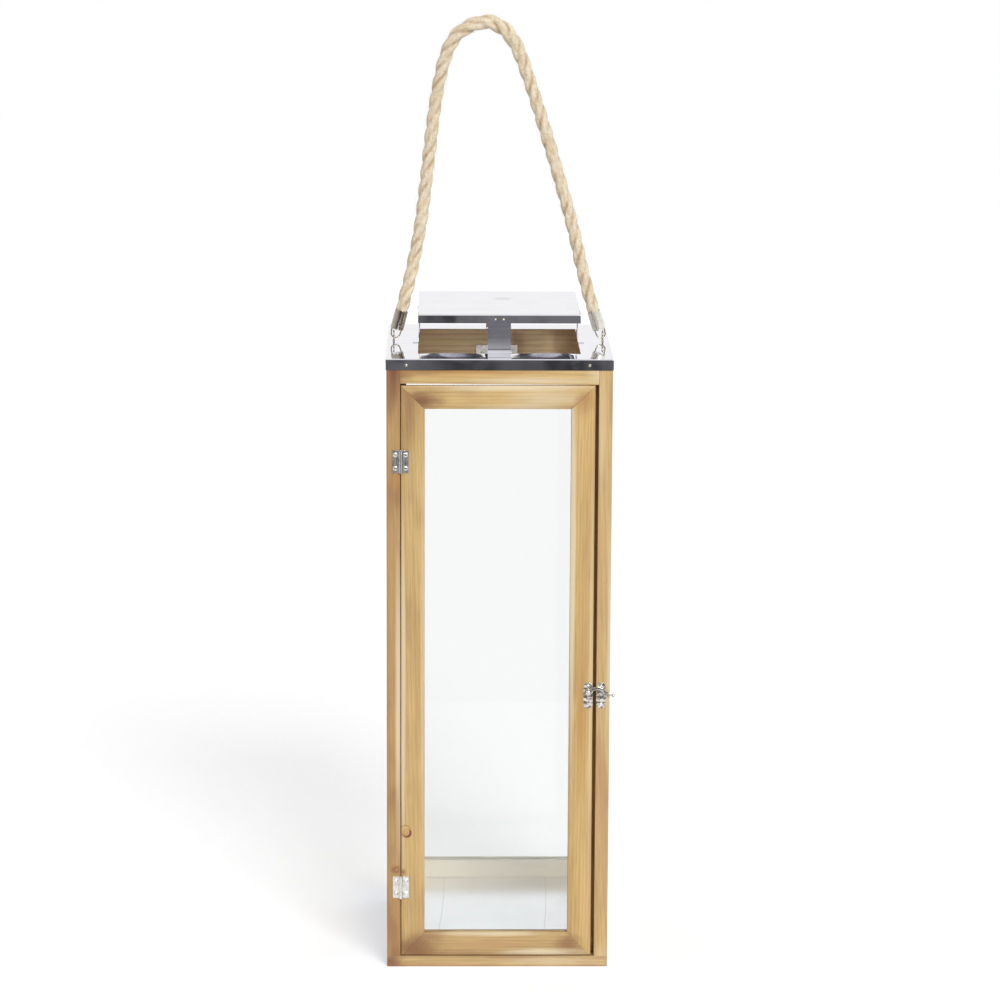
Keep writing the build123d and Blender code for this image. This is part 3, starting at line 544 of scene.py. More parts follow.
def fir_material(node, board):
    """Oiled fir for one piece: its own stretch of grain, its spots of staining, painted highlights and
    painted shadows, and edges darkened towards dark brown.
    """
    wood = bpy.context.scene.lantern_wood
    made, tree, shader, place = start_material("oiled_fir_" + node)
    turn = list(GRAIN_TURN[board.grain])
    turn[1] += math.radians(board.lean)
    slide = [board.slide * share for share in SLIDE_SHARES]
    sawn = add_node(tree, "Mapping", {"Vector": place, "Location": slide, "Rotation": turn}).outputs[0]
    feed = {
        "Vector": sawn,
        "Tan": tinted(wood.tan, board.tint),
        "Olive": tinted(wood.olive, board.tint),
        "Rose": tinted(wood.rose, board.tint),
        "Umber": rgba(wood.umber),
        "Ring Spacing": wood.ring_spacing,
        "Olive Share": board.olive,
        "Rose Share": board.rose,
        "Ring Share": board.rings,
    }
    grain = use_group(tree, "fir_grain", feed).outputs
    colour = grain["Color"]
    for soft_patch in board.soft_patches:
        feed = {
            "Vector": place,
            "Centre": soft_patch.centre,
            "Size": soft_patch.size,
            "Softness": soft_patch.softness,
            "Raggedness": soft_patch.raggedness,
        }
        mask = use_group(tree, "soft_patch", feed).outputs["Mask"]
        mask = calc(tree, "MULTIPLY", mask, soft_patch.strength)
        colour = blend_colour(tree, mask, colour, rgba(soft_patch.colour))
    low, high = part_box(node)
    feed = {
        "Vector": place,
        "Centre": (low + high) / 2,
        "Half Size": (high - low) / 2,
        "Reach": RUBBED_REACH,
        "Grain Stretch": GRAIN_STRETCH[board.grain],
    }
    edges = use_group(tree, "rubbed_edges", feed).outputs["Mask"]
    rubbed = calc(tree, "MULTIPLY", edges, board.rubbed)
    feed = {
        "Base Color": blend_colour(tree, rubbed, colour, rgba(wood.dark_brown_and_shadow)),
        "Roughness": remap(tree, grain["Late Wood"], 0.0, 1.0, 0.62, 0.46),
        "Normal": bump(tree, grain["Height"], 0.35, 0.0002),
        "Specular IOR Level": 0.3,
    }
    feed_node(tree, shader, feed)
    return made


# How far each edge along the gap over the door is tilted from the hinges to the latch
GAP_TILT = {"front_top_rail": -0.0009, "door_top_rail": 0.0007, "door_latch_stile": 0.0007}
GAP_START = -0.107
GAP_LENGTH = 0.214
GAP_BAND = 0.0005


def tilt_edge(piece, node):
    """Tilts an edge along the gap over the door, so that the gap narrows towards the latch."""
    low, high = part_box(node)
    rise = GAP_TILT[node]
    edge = high[2] if rise > 0.0 else low[2]
    for vertex in piece.data.vertices:
        if abs(vertex.co.z - edge) < GAP_BAND:
            vertex.co.z += rise * max(vertex.co.x - GAP_START, 0.0) / GAP_LENGTH


def plane_wood(node, board):
    """Makes a wooden piece: the CAD bar with eased edges and its own sawn grain."""
    wood = bpy.context.scene.lantern_wood
    piece = copy_of_node(node, "fir")
    if node in GAP_TILT:
        tilt_edge(piece, node)
    ease_edges(piece, wood.edge_round, segments=3, shortest=0.008)
    finish_piece(piece, fir_material(node, board), node)


class LANTERN_OT_case(bpy.types.Operator):
    """Finish the posts, rails, sill and stops of the case in oiled fir"""

    bl_idname = "lantern.case"
    bl_label = "Case of fir"

    def execute(self, context):
        wood = context.scene.lantern_wood
        # The long, narrow light-coloured bands along the edges of the posts and the lintel are painted
        # highlights, where the eased edges catch the light
        left_post = (
            patch(-118, 700, 18, 95, wood.dark_brown_and_shadow, 1.0),
            patch(-118, 6, 15, 26, wood.dark_brown_and_shadow, 0.4),
            patch(-115, 560, 6, 15, wood.amber, 0.6),
            patch(-119, 497, 7, 18, wood.rose, 0.8),
            patch(-111.3, 320, 5.5, 250, wood.pale_and_highlight, 0.75, 0.8),
            patch(-114.6, 114.4, 8.5, 7.0, wood.knot, 0.6, 0.8, 0.9),
            patch(-113.8, 114.4, 2.4, 1.8, wood.rose, 0.8, 0.7, 0.4),
        )
        right_post = (
            patch(123, 650, 4, 45, wood.rose, 0.7),
            patch(113, 610, 5, 110, wood.pale_and_highlight, 0.35),
            patch(118, 185, 9, 95, wood.rose, 0.75),
            patch(124, 380, 4.5, 190, wood.pale_and_highlight, 0.75, 0.8),
            patch(118, 8, 12, 26, wood.pale_and_highlight, 0.3),
        )
        sill = (
            patch(60, 6, 85, 9, wood.pale_and_highlight, 0.4),
            patch(-120, 5, 20, 16, wood.dark_brown_and_shadow, 0.85),
        )
        lintel = (
            patch(-118, 682, 30, 22, wood.dark_brown_and_shadow, 0.9),
            patch(-40, 688, 140, 13, wood.amber, 1.0),
            patch(-85, 685, 50, 9, wood.dark_brown_and_shadow, 0.4),
            patch(35, 674, 110, 6, wood.pale_and_highlight, 0.6),
            patch(116, 682, 26, 16, wood.pale_and_highlight, 0.75),
        )
        # Grey-cream on the inner face and the top of the back bottom rail
        behind = (0.0, 0.1095, 0.03)
        low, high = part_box("back_bottom_rail")
        on_top = (0.0, (low[1] + high[1]) / 2, high[2])
        back_rail = (
            SoftPatch(behind, (0.3, 0.007, 0.08), tuple(wood.grey_cream), 0.9, 0.4, 0.3),
            SoftPatch(on_top, (0.4, 0.02, 0.005), tuple(wood.grey_cream), 0.9, 0.4, 0.3),
        )
        # Painted shadow of the strap and the cap on the back top rail, where it shows through the vent
        painted_vent_shadow = (
            SoftPatch((0.09, 0.1, 0.67), (0.032, 0.05, 0.08), tuple(wood.dark_brown_and_shadow), 0.55, 0.5, 0.4),
            SoftPatch((0.021, 0.1, 0.675), (0.017, 0.05, 0.04), tuple(wood.dark_brown_and_shadow), 0.5, 0.9, 0.5),
        )
        reddish = (0.75, 0.67, 0.64)
        # Painted shade: the right door stop is darkened, as it lies in shadow in the gap beside the door
        painted_shade = (0.78, 0.68, 0.6)
        # Painted light and shade: a lighter, greyer tint for the top rails under the roof, as the light
        # through the vent shows them
        painted_vent_light = (1.13, 1.25, 1.75)
        # Grain, where it is sawn, olive, rose, rings, rubbed edges, tint, patches and lean
        boards = {
            "front_left_post": Board("Z", 0.31, 0.25, 0.8, 0.25, 0.15, reddish, left_post, 1.5),
            "front_right_post": Board("Z", 0.72, 0.55, 0.45, 0.22, 0.15, (0.95, 0.95, 0.98), right_post, 2.5),
            "back_left_post": Board("Z", 1.13, 0.4, 0.6, 0.25, 0.25),
            "back_right_post": Board("Z", 1.57, 0.5, 0.4, 0.25, 0.25),
            "front_sill": Board("X", 2.11, 0.35, 0.5, 0.3, 0.25, (0.92, 0.94, 1.0), sill),
            "front_top_rail": Board("X", 2.63, 0.45, 0.4, 0.25, 0.12, EVEN, lintel),
            "back_top_rail": Board("X", 3.17, 0.4, 0.6, 0.3, 0.2, painted_vent_light, painted_vent_shadow),
            "left_top_rail": Board("Y", 3.71, 0.4, 0.6, 0.3, 0.2, painted_vent_light),
            "right_top_rail": Board("Y", 4.23, 0.5, 0.5, 0.3, 0.2, painted_vent_light),
            "back_bottom_rail": Board("X", 4.79, 0.4, 0.3, 0.2, 0.1, (0.9, 0.95, 1.1), back_rail),
            "left_bottom_rail": Board("Y", 5.31, 0.4, 0.6, 0.3, 0.25),
            "right_bottom_rail": Board("Y", 5.83, 0.5, 0.5, 0.3, 0.25),
            "left_door_stop": Board("Z", 6.37, 0.4, 0.6, 0.3, 0.3),
            "right_door_stop": Board("Z", 6.91, 0.4, 0.6, 0.3, 0.3, painted_shade),
        }
        for node, board in boards.items():
            plane_wood(node, board)
        return {"FINISHED"}


class LANTERN_OT_door(bpy.types.Operator):
    """Finish the mitred frame of the door and its glazing beads in oiled fir"""

    bl_idname = "lantern.door"
    bl_label = "Door of fir"

    def execute(self, context):
        wood = context.scene.lantern_wood
        # The narrow light-coloured bands along the outer edges and inner bevels of the door frame are painted
        # highlights, where the bevels catch the light
        low_left = patch(-94, 21, 46, 27, wood.dark_brown_and_shadow, 0.82)
        low_right = patch(82, 26, 22, 18, wood.dark_brown_and_shadow, 0.6)
        hinge_stile = (
            low_left,
            patch(-106.4, 330, 3.6, 270, wood.pale_and_highlight, 0.7, 0.6),
            patch(-84.6, 350, 3.4, 300, wood.pale_and_highlight, 0.35, 0.7),
            patch(-100, 660, 20, 110, wood.dark_brown_and_shadow, 0.62),
            patch(-106.5, 111.5, 5, 5, wood.dark_brown_and_shadow, 0.7),
        ) + knot_eye(-102.6, 157.1, 6.4, 6.0)
        latch_stile = (
            low_right,
            patch(81.8, 480, 4.2, 300, wood.pale_and_highlight, 0.8, 0.6),
            patch(103.5, 350, 3.4, 330, wood.pale_and_highlight, 0.35, 0.7),
            patch(93, 285, 9, 120, wood.amber, 0.6),
            patch(95, 655, 16, 32, wood.umber, 0.5),
        )
        top_rail = (
            patch(-88, 652, 40, 18, wood.dark_brown_and_shadow, 0.9),
            patch(12, 667.4, 116, 7.5, wood.pale_and_highlight, 0.8, 0.8),
            patch(52, 654, 60, 16, wood.pale_and_highlight, 0.5),
            patch(95, 648, 18, 22, wood.umber, 0.75),
            patch(20, 644, 72, 6, wood.pale_and_highlight, 0.45),
        )
        bottom_rail = (
            low_left,
            low_right,
            patch(-8, 38.8, 80, 4.4, wood.pale_and_highlight, 0.6, 0.7),
            patch(52, 16.5, 66, 7.5, wood.pale_and_highlight, 0.85),
            patch(-6, 27, 80, 8, wood.rose, 0.6),
        )
        boards = {
            "door_hinge_stile": Board("Z", 7.43, 0.6, 0.35, 0.22, 0.1, (0.94, 0.93, 0.92), hinge_stile, 1.2),
            "door_latch_stile": Board("Z", 7.97, 0.5, 0.35, 0.2, 0.08, (0.98, 0.96, 0.92), latch_stile, -0.8),
            "door_top_rail": Board("X", 8.51, 0.45, 0.4, 0.25, 0.08, EVEN, top_rail),
            "door_bottom_rail": Board("X", 9.07, 0.4, 0.45, 0.3, 0.12, (0.8, 0.8, 0.82), bottom_rail),
            "door_glazing_beads": Board("Z", 9.61, 0.4, 0.4, 0.2, 0.2, (0.95, 0.95, 1.0)),
        }
        for node, board in boards.items():
            plane_wood(node, board)
        return {"FINISHED"}


class LANTERN_OT_floor(bpy.types.Operator):
    """Finish the base board, its battens and the metal floor sheet"""

    bl_idname = "lantern.floor"
    bl_label = "Floor"

    def execute(self, context):
        boards = {
            "base_board": (Board("X", 10.13, 0.4, 0.4, 0.4, 0.3), "board"),
            "front_base_batten": (Board("X", 10.67, 0.4, 0.5, 0.4, 0.4), "case_wood"),
            "back_base_batten": (Board("X", 11.21, 0.4, 0.5, 0.4, 0.4), "case_wood"),
        }
        for node, (board, slot) in boards.items():
            plane_wood(node, board)
        finish_nodes(satin_material(), "floor_plate")
        return {"FINISHED"}


# Metal and glass


# Two scores in the floor sheet, each an arc of a large circle round its middle
SCORE_MIDDLES = ((-3.06, 0.1, 0.0337), (-2.94, 0.1, 0.0337))
SCORE_RADIUS = 3.0
SCORE_WIDTH = 0.0012
SCORE_STRENGTH = 0.14
SATIN_FILM = (0.95, 0.95, 0.95)


def filmed(tree, marks, colour, film):
    """The colour of a metal, a little darker under finger film."""
    return blend_colour(tree, marks["Film"], rgba(colour), tinted(colour, film))


def satin_material():
    """Satin steel with film and two long scores from front to back."""
    metal = bpy.context.scene.lantern_metal
    made, tree, shader, place = start_material("satin_floor_sheet")
    marks = use_group(tree, "handling", {"Vector": place, "Film Scale": 11.0}).outputs
    scored = 0.0
    for middle in SCORE_MIDDLES:
        reach = length_of(tree, calc_vector(tree, "SUBTRACT", place, middle))
        away = calc(tree, "ABSOLUTE", calc(tree, "SUBTRACT", reach, SCORE_RADIUS))
        line = remap(tree, away, 0.0, SCORE_WIDTH, SCORE_STRENGTH, 0.0)
        scored = calc(tree, "MAXIMUM", line, scored)
    clean = filmed(tree, marks, metal.satin, SATIN_FILM)
    feed = {
        "Base Color": blend_colour(tree, scored, clean, rgba(metal.tarnish)),
        "Roughness": remap(tree, marks["Film"], 0.0, 1.0, 0.2, 0.26),
        "Metallic": 1.0,
    }
    feed_node(tree, shader, feed)
    return made


# Dull spot on top of the vent cap
GREY_SPOT_PLACE = (0.0055, 0.031, 0.742)
GREY_SPOT_SIZE = (0.013, 0.015, 0.004)
GREY_SPOT_STRENGTH = 0.3
MIRROR_FILM = (0.93, 0.93, 0.93)


def mirror_material():
    """Polished steel that waves a little, with film and one dull grey spot on the cap."""
    metal = bpy.context.scene.lantern_metal
    made, tree, shader, place = start_material("polished_roof_steel")
    feed = {"Vector": place, "Stretch": (1.0, 1.0, 0.2), "Film Scale": 30.0}
    marks = use_group(tree, "handling", feed).outputs
    feed = {"Vector": place, "Centre": GREY_SPOT_PLACE, "Size": GREY_SPOT_SIZE, "Raggedness": 1.1}
    grey_spot = use_group(tree, "soft_patch", feed).outputs["Mask"]
    grey_spot = calc(tree, "MULTIPLY", grey_spot, GREY_SPOT_STRENGTH)
    clean = filmed(tree, marks, metal.mirror, MIRROR_FILM)
    feed = {
        "Base Color": blend_colour(tree, grey_spot, clean, rgba(metal.tarnish)),
        "Roughness": remap(tree, marks["Film"], 0.0, 1.0, 0.025, 0.07),
        "Normal": bump(tree, noise(tree, place, 26.0, 1.0), 0.06, 0.002),
        "Metallic": 1.0,
    }
    feed_node(tree, shader, feed)
    return made


def fitting_material(name, colour, smooth, rough, dented, stretch=EVEN):
    """Plated fittings: marks of brushing, film in patches, dents, roughness between two levels."""
    metal = bpy.context.scene.lantern_metal
    made, tree, shader, place = start_material(name)
    feed = {"Vector": place, "Stretch": stretch, "Film Scale": 160.0}
    marks = use_group(tree, "handling", feed).outputs
    film = calc(tree, "MULTIPLY", marks["Film"], 0.3)
    dents = bump(tree, noise(tree, place, 160.0, 1.0), dented, 0.0012)
    feed = {
        "Base Color": blend_colour(tree, film, rgba(colour), rgba(metal.tarnish)),
        "Roughness": remap(tree, marks["Scratches"], 0.3, 0.7, smooth, rough),
        "Normal": bump(tree, marks["Scratches"], 0.1, 0.00005, dents),
        "Metallic": 1.0,
    }
    feed_node(tree, shader, feed)
    return made


# Cross slot of a screw head
SLOT_LENGTH = 0.0033
SLOT_WIDTH = 0.0009
SLOT_DEPTH = 0.0005
SCREW_SMOOTH = 30.0


def loose_parts(mesh):
    """The vertices of each separate solid in a mesh."""
    waiting = set(mesh.verts)
    parts = []
    while waiting:
        part = [waiting.pop()]
        for vertex in part:
            for edge in vertex.link_edges:
                other = edge.other_vert(vertex)
                if other in waiting:
                    waiting.remove(other)
                    part.append(other)
        parts.append(part)
    return parts


def head_tops(piece):
    """The foremost middle point of each screw in a piece, in a fixed order."""
    mesh = bmesh.new()
    mesh.from_mesh(piece.data)
    tops = []
    for part in loose_parts(mesh):
        spans = [sorted(vertex.co[axis] for vertex in part) for axis in range(3)]
        tops.append(((spans[0][0] + spans[0][-1]) / 2, spans[1][0], (spans[2][0] + spans[2][-1]) / 2))
    mesh.free()
    return sorted(tops)


def drive_screws(node, material, seed):
    """Makes the screws of a node: the CAD heads with a cross cut into each, turned at random."""
    chance = random.Random(seed)
    piece = copy_of_node(node, "driven")
    for top in head_tops(piece):
        turn = chance.uniform(0.0, math.pi / 2)
        for quarter in (0.0, math.pi / 2):
            with edit_mode(piece):
                bpy.ops.mesh.select_all(action="DESELECT")
                bpy.ops.mesh.primitive_cube_add(
                    size=1.0,
                    location=top,
                    rotation=(0.0, turn + quarter, 0.0),
                    scale=(SLOT_LENGTH, 2 * SLOT_DEPTH, SLOT_WIDTH),
                )
                bpy.ops.mesh.intersect_boolean(operation="DIFFERENCE", solver="EXACT")
    bpy.ops.object.shade_smooth_by_angle(angle=math.radians(SCREW_SMOOTH))
    finish_piece(piece, material, node)


PANE_SHADOW = (0.73, 0.73, 0.73, 1.0)


def pane_material(glass):
    """Clear glass with faint smears, which lets most of the light through its shadow."""
    made, tree, shader, place = start_material("clear_pane")
    feed = {
        "Roughness": remap(tree, noise(tree, place, 7.0, 3.0), 0.45, 0.75, 0.0, 0.03),
        "Base Color": rgba(glass.tint),
        "Transmission Weight": 1.0,
        "IOR": 1.33,
    }
    feed_node(tree, shader, feed)
    clear = add_node(tree, "BsdfTransparent", {"Color": PANE_SHADOW}).outputs[0]
    shadow = add_node(tree, "LightPath").outputs["Is Shadow Ray"]
    pane = add_node(tree, "MixShader", {0: shadow, 1: shader.outputs[0], 2: clear}).outputs[0]
    feed_node(tree, tree.nodes["Material Output"], {"Surface": pane})
    return made


class LANTERN_OT_glass(bpy.types.Operator):
    """Glaze the case and the door with clear panes"""

    bl_idname = "lantern.glass"
    bl_label = "Glass panes"

    def execute(self, context):
        glass = context.scene.lantern_glass
        clear_pane = pane_material(glass)
        for node in ("left_glass", "right_glass", "back_glass", "door_glass"):
            piece = copy_of_node(node, "pane")
            ease_edges(piece, glass.edge_round, segments=1, shortest=0.001)
            bpy.ops.mesh.customdata_custom_splitnormals_clear()
            bpy.ops.object.shade_flat()
            finish_piece(piece, clear_pane, node)
        return {"FINISHED"}


# Half widths of the vent hole, the roof and the strap, and the rise of the sheet between them
VENT_HALF = 0.0902
ROOF_HALF = 0.1247
STRAP_HALF = 0.0135
SHEET_UNDER = 0.6965
MARGIN_RISE = 0.0009
MARGIN_POWER = 1.4
MARGIN_END = 1.05
MARGIN_CUTS = 22
DEPTH_CUTS = 5


def press_margin(tray):
    """Raises the sheet a little in front of the vent hole, as cutting and folding leave it."""
    margin = ROOF_HALF - VENT_HALF
    marks = [VENT_HALF * (2 * step / MARGIN_CUTS - 1) for step in range(1, MARGIN_CUTS)]
    for step in range(1, DEPTH_CUTS + 1):
        reach = VENT_HALF + margin * step / (DEPTH_CUTS + 1)
        marks += [-reach, reach]
    with edit_mode(tray) as mesh:
        slice_across(mesh, Vector((1.0, 0.0, 0.0)), marks)
        slice_across(mesh, Vector((0.0, 1.0, 0.0)), marks)
        for vertex in mesh.verts:
            if vertex.co.z < SHEET_UNDER:
                continue
            span = (abs(vertex.co.x) - STRAP_HALF) / (VENT_HALF - STRAP_HALF)
            depth = (ROOF_HALF + vertex.co.y) / margin
            if 0.0 < span < 1.0 and 0.0 < depth < MARGIN_END:
                vertex.co.z += MARGIN_RISE * math.sin(math.pi * span) * depth**MARGIN_POWER
        bmesh.update_edit_mesh(tray.data)
    settle_normals(tray)


# Heights between which the front strap curves, and how far it comes forward
BOW_TOP = 0.731
BOW_FOOT = 0.7025
BOW_DEPTH = 0.0011
BOW_CUTS = 16


def bow_strap(strap):
    """Lets the lower part of the front strap come forward in a slight curve."""
    marks = [BOW_TOP + (BOW_FOOT - BOW_TOP) * step / (BOW_CUTS - 1) for step in range(BOW_CUTS)]
    with edit_mode(strap) as mesh:
        slice_across(mesh, Vector((0.0, 0.0, 1.0)), marks)
        for vertex in mesh.verts:
            share = min(max((BOW_TOP - vertex.co.z) / (BOW_TOP - BOW_FOOT), 0.0), 1.0)
            vertex.co.y -= BOW_DEPTH * share**2
        bmesh.update_edit_mesh(strap.data)
    settle_normals(strap)


class LANTERN_OT_roof(bpy.types.Operator):
    """Finish the roof tray, the vent cap, its straps and their fasteners in polished steel"""

    bl_idname = "lantern.roof"
    bl_label = "Polished roof"

    def execute(self, context):
        metal = context.scene.lantern_metal
        polished = mirror_material()
        tray = copy_of_node("roof_tray", "pressed")
        ease_edges(tray, 0.0006, segments=3, shortest=0.05)
        press_margin(tray)
        finish_piece(tray, polished, "roof_tray")
        strap = copy_of_node("front_strap", "bowed")
        bow_strap(strap)
        finish_piece(strap, polished, "front_strap")
        finish_nodes(polished, "cap_plate", "back_strap", "left_strap", "right_strap")
        bright = fitting_material("bright_nails", metal.worn_nickel, smooth=0.15, rough=0.3, dented=0.5)
        finish_nodes(bright, "roof_nails", "strap_rivets")
        return {"FINISHED"}


HINGE_BRUSHING = (1.0, 1.0, 0.08)
ZINC_PLATES = (
    "upper_hinge_post_leaf",
    "lower_hinge_post_leaf",
    "upper_hinge_door_leaf",
    "lower_hinge_door_leaf",
    "back_rail_plate",
)


class LANTERN_OT_hinges(bpy.types.Operator):
    """Finish the butt hinges, their pins and screws, and the plate inside the roof"""

    bl_idname = "lantern.hinges"
    bl_label = "Hinges"

    def execute(self, context):
        metal = context.scene.lantern_metal
        zinc = fitting_material(
            "zinc_hinge", metal.zinc, smooth=0.2, rough=0.36, dented=0.2, stretch=HINGE_BRUSHING
        )
        for node in ZINC_PLATES:
            piece = copy_of_node(node, "zinc")
            ease_edges(piece, 0.00018, segments=2, shortest=0.0012)
            finish_piece(piece, zinc, node)
        for seed, node in enumerate(("hinge_post_screws", "hinge_door_screws", "back_plate_screws")):
            drive_screws(node, zinc, seed)
        finish_nodes(zinc, "upper_hinge_pin", "lower_hinge_pin")
        return {"FINISHED"}


# Middle lines of the hook's arm and tail on the front plane, and their widths from end to end
HOOK_ARCH = [
    (0.1004, 0.3211),
    (0.1034, 0.3237),
    (0.1072, 0.3256),
    (0.1114, 0.3262),
    (0.1156, 0.3251),
    (0.1190, 0.3218),
    (0.1202, 0.3172),
    (0.1190, 0.3124),
]
HOOK_TAIL = [
    (0.1164, 0.3245),
    (0.1200, 0.3218),
    (0.1238, 0.3190),
    (0.1285, 0.3178),
]
ARM_WIDTHS = (0.0040, 0.0028)
TAIL_WIDTHS = (0.0030, 0.0019)
EYE_RADIUS = 0.0037
EYE_BORE = 0.00155
BALL_RADIUS = 0.002
HOOK_DEPTH = -0.12765
HOOK_HALF_SHEET = 0.00075
HOOK_CELL = 0.0002


def bent_bar(name, route, widths):
    """A round bar through points on the front plane, flattened and turned into a mesh."""
    bar = smooth_curve(name, [(x, 0.0, z) for x, z in route])
    bar.data.bevel_depth = 1.0
    bar.data.bevel_resolution = 8
    bar.data.use_fill_caps = True
    for step, point in enumerate(bar.data.splines[0].points):
        share = step / (len(route) - 1)
        point.radius = (widths[0] * (1.0 - share) + widths[1] * share) / 2
    take_up(bar)
    bpy.ops.object.convert(target="MESH")
    bar = bpy.context.object
    with edit_mode(bar) as mesh:
        for vertex in mesh.verts:
            vertex.co.y = HOOK_DEPTH + min(max(vertex.co.y, -HOOK_HALF_SHEET), HOOK_HALF_SHEET)
        bmesh.update_edit_mesh(bar.data)
    return bar


def swan_hook():
    """The hook of the latch: an eye, an arm that arches over the peg, and a tail with a ball."""
    arch = bent_bar("latch_hook_nickel", HOOK_ARCH, ARM_WIDTHS)
    tail = bent_bar("hook_tail", HOOK_TAIL, TAIL_WIDTHS)
    bpy.ops.object.select_all(action="DESELECT")
    pivot_x, pivot_z = HOOK_ARCH[0]
    ball_x, ball_z = HOOK_TAIL[-1]
    at_eye = {"location": (pivot_x, HOOK_DEPTH, pivot_z), "rotation": (math.pi / 2, 0.0, 0.0)}
    thick = 2 * HOOK_HALF_SHEET
    bpy.ops.mesh.primitive_cylinder_add(vertices=48, radius=EYE_RADIUS, depth=thick, **at_eye)
    eye = put_down("hook_eye")
    bpy.ops.mesh.primitive_uv_sphere_add(radius=BALL_RADIUS, location=(ball_x, HOOK_DEPTH, ball_z))
    ball = put_down("hook_ball")
    take_up(arch)
    for other in (tail, eye, ball):
        other.select_set(True)
    bpy.ops.object.join()
    arch.data.remesh_voxel_size = HOOK_CELL
    bpy.ops.object.voxel_remesh()
    with edit_mode(arch):
        bpy.ops.mesh.select_all(action="SELECT")
        bpy.ops.mesh.vertices_smooth(factor=0.5, repeat=5)
        bpy.ops.mesh.select_all(action="DESELECT")
        bpy.ops.mesh.primitive_cylinder_add(vertices=32, radius=EYE_BORE, depth=0.006, **at_eye)
        bpy.ops.mesh.intersect_boolean(operation="DIFFERENCE", solver="EXACT")
    bpy.ops.object.shade_smooth_by_angle(angle=math.radians(SMOOTH_BELOW))
    return arch


# Middle height of the latch plates, and how far their straight sides reach up and out
PLATE_HEIGHT = 0.3174
PLATE_END = 0.0098
PLATE_HALF = 0.0052
WAIST_FROM = 0.0035


def straighten_sides(plate):
    """Brings the sides of a latch plate out to the width of its round ends."""
    xs = [vertex.co.x for vertex in plate.data.vertices]
    middle = (min(xs) + max(xs)) / 2
    for vertex in plate.data.vertices:
        across = vertex.co.x - middle
        if abs(vertex.co.z - PLATE_HEIGHT) < PLATE_END and abs(across) > WAIST_FROM:
            vertex.co.x = middle + math.copysign(PLATE_HALF, across)


class LANTERN_OT_latch(bpy.types.Operator):
    """Finish the hook latch in bright nickel"""

    bl_idname = "lantern.latch"
    bl_label = "Hook latch"

    def execute(self, context):
        metal = context.scene.lantern_metal
        nickel = fitting_material("bright_latch_nickel", metal.nickel, smooth=0.08, rough=0.16, dented=0.21)
        rubbed = [(fresh + worn) / 2 for fresh, worn in zip(metal.nickel, metal.worn_nickel)]
        hook_nickel = fitting_material("rubbed_hook_nickel", rubbed, smooth=0.08, rough=0.18, dented=0.2)
        for node in ("latch_plate", "keeper_plate"):
            piece = copy_of_node(node, "nickel")
            straighten_sides(piece)
            ease_edges(piece, 0.0007, segments=4, shortest=0.0001, corner=50.0)
            finish_piece(piece, nickel, node)
        finish_piece(swan_hook(), hook_nickel, "latch_hook")
        for seed, node in enumerate(("keeper_screws", "latch_screws")):
            drive_screws(node, nickel, seed)
        finish_nodes(nickel, "keeper_peg", "latch_pivot")
        return {"FINISHED"}


# Rope handle

ROPE_ROUTE = [
    (-0.11437, 0.0, 0.71296),
    (-0.10428, 0.0, 0.75063),
    (-0.0946, 0.0, 0.7914),
    (-0.0855, 0.0, 0.8434),
    (-0.0780, 0.0, 0.9134),
    (-0.0690, 0.0, 0.9864),
    (-0.0553, 0.0, 1.0368),
    (-0.0335, 0.0, 1.0540),
    (-0.0085, 0.0, 1.0590),
    (0.0155, 0.0, 1.0416),
    (0.0330, 0.0, 0.9954),
    (0.0582, 0.0, 0.9159),
    (0.0838, 0.0, 0.8279),
    (0.0922, 0.0, 0.7889),
    (0.10200, 0.0, 0.74995),
    (0.11405, 0.0, 0.71286),
]
ROPE_STEPS = 34
STRANDS = 3
STRAND_POINTS = 14
HANDLE_BODY = "handle"


def rope_line():
    """Points along the rope's smooth centre line."""
    holder = smooth_curve("rope_line", ROPE_ROUTE)
    curve = holder.data
    curve.splines[0].resolution_u = ROPE_STEPS
    bpy.context.view_layer.update()
    traced = bpy.data.meshes.new_from_object(holder)
    points = [vertex.co.copy() for vertex in traced.vertices]
    bpy.data.meshes.remove(traced)
    bpy.data.objects.remove(holder)
    bpy.data.curves.remove(curve)
    return points


def rope_frames(points):
    """For each point: how far along it is, and the two directions across the rope there."""
    frames = []
    travelled = 0.0
    side = Vector((0.0, 1.0, 0.0))
    for index, point in enumerate(points):
        before = points[max(index - 1, 0)]
        after = points[min(index + 1, len(points) - 1)]
        travelled += (point - before).length
        across = side.cross((after - before).normalized())
        frames.append((travelled, across, side))
    return frames


def strand_radius(angle, radius, strand_share):
    """Distance from the axis to the surface of three strands that lie together."""
    strand = radius * strand_share
    offset = radius - strand
    step = 2 * math.pi / STRANDS
    away = (angle + step / 2) % step - step / 2
    return offset * math.cos(away) + math.sqrt(strand**2 - (offset * math.sin(away)) ** 2)


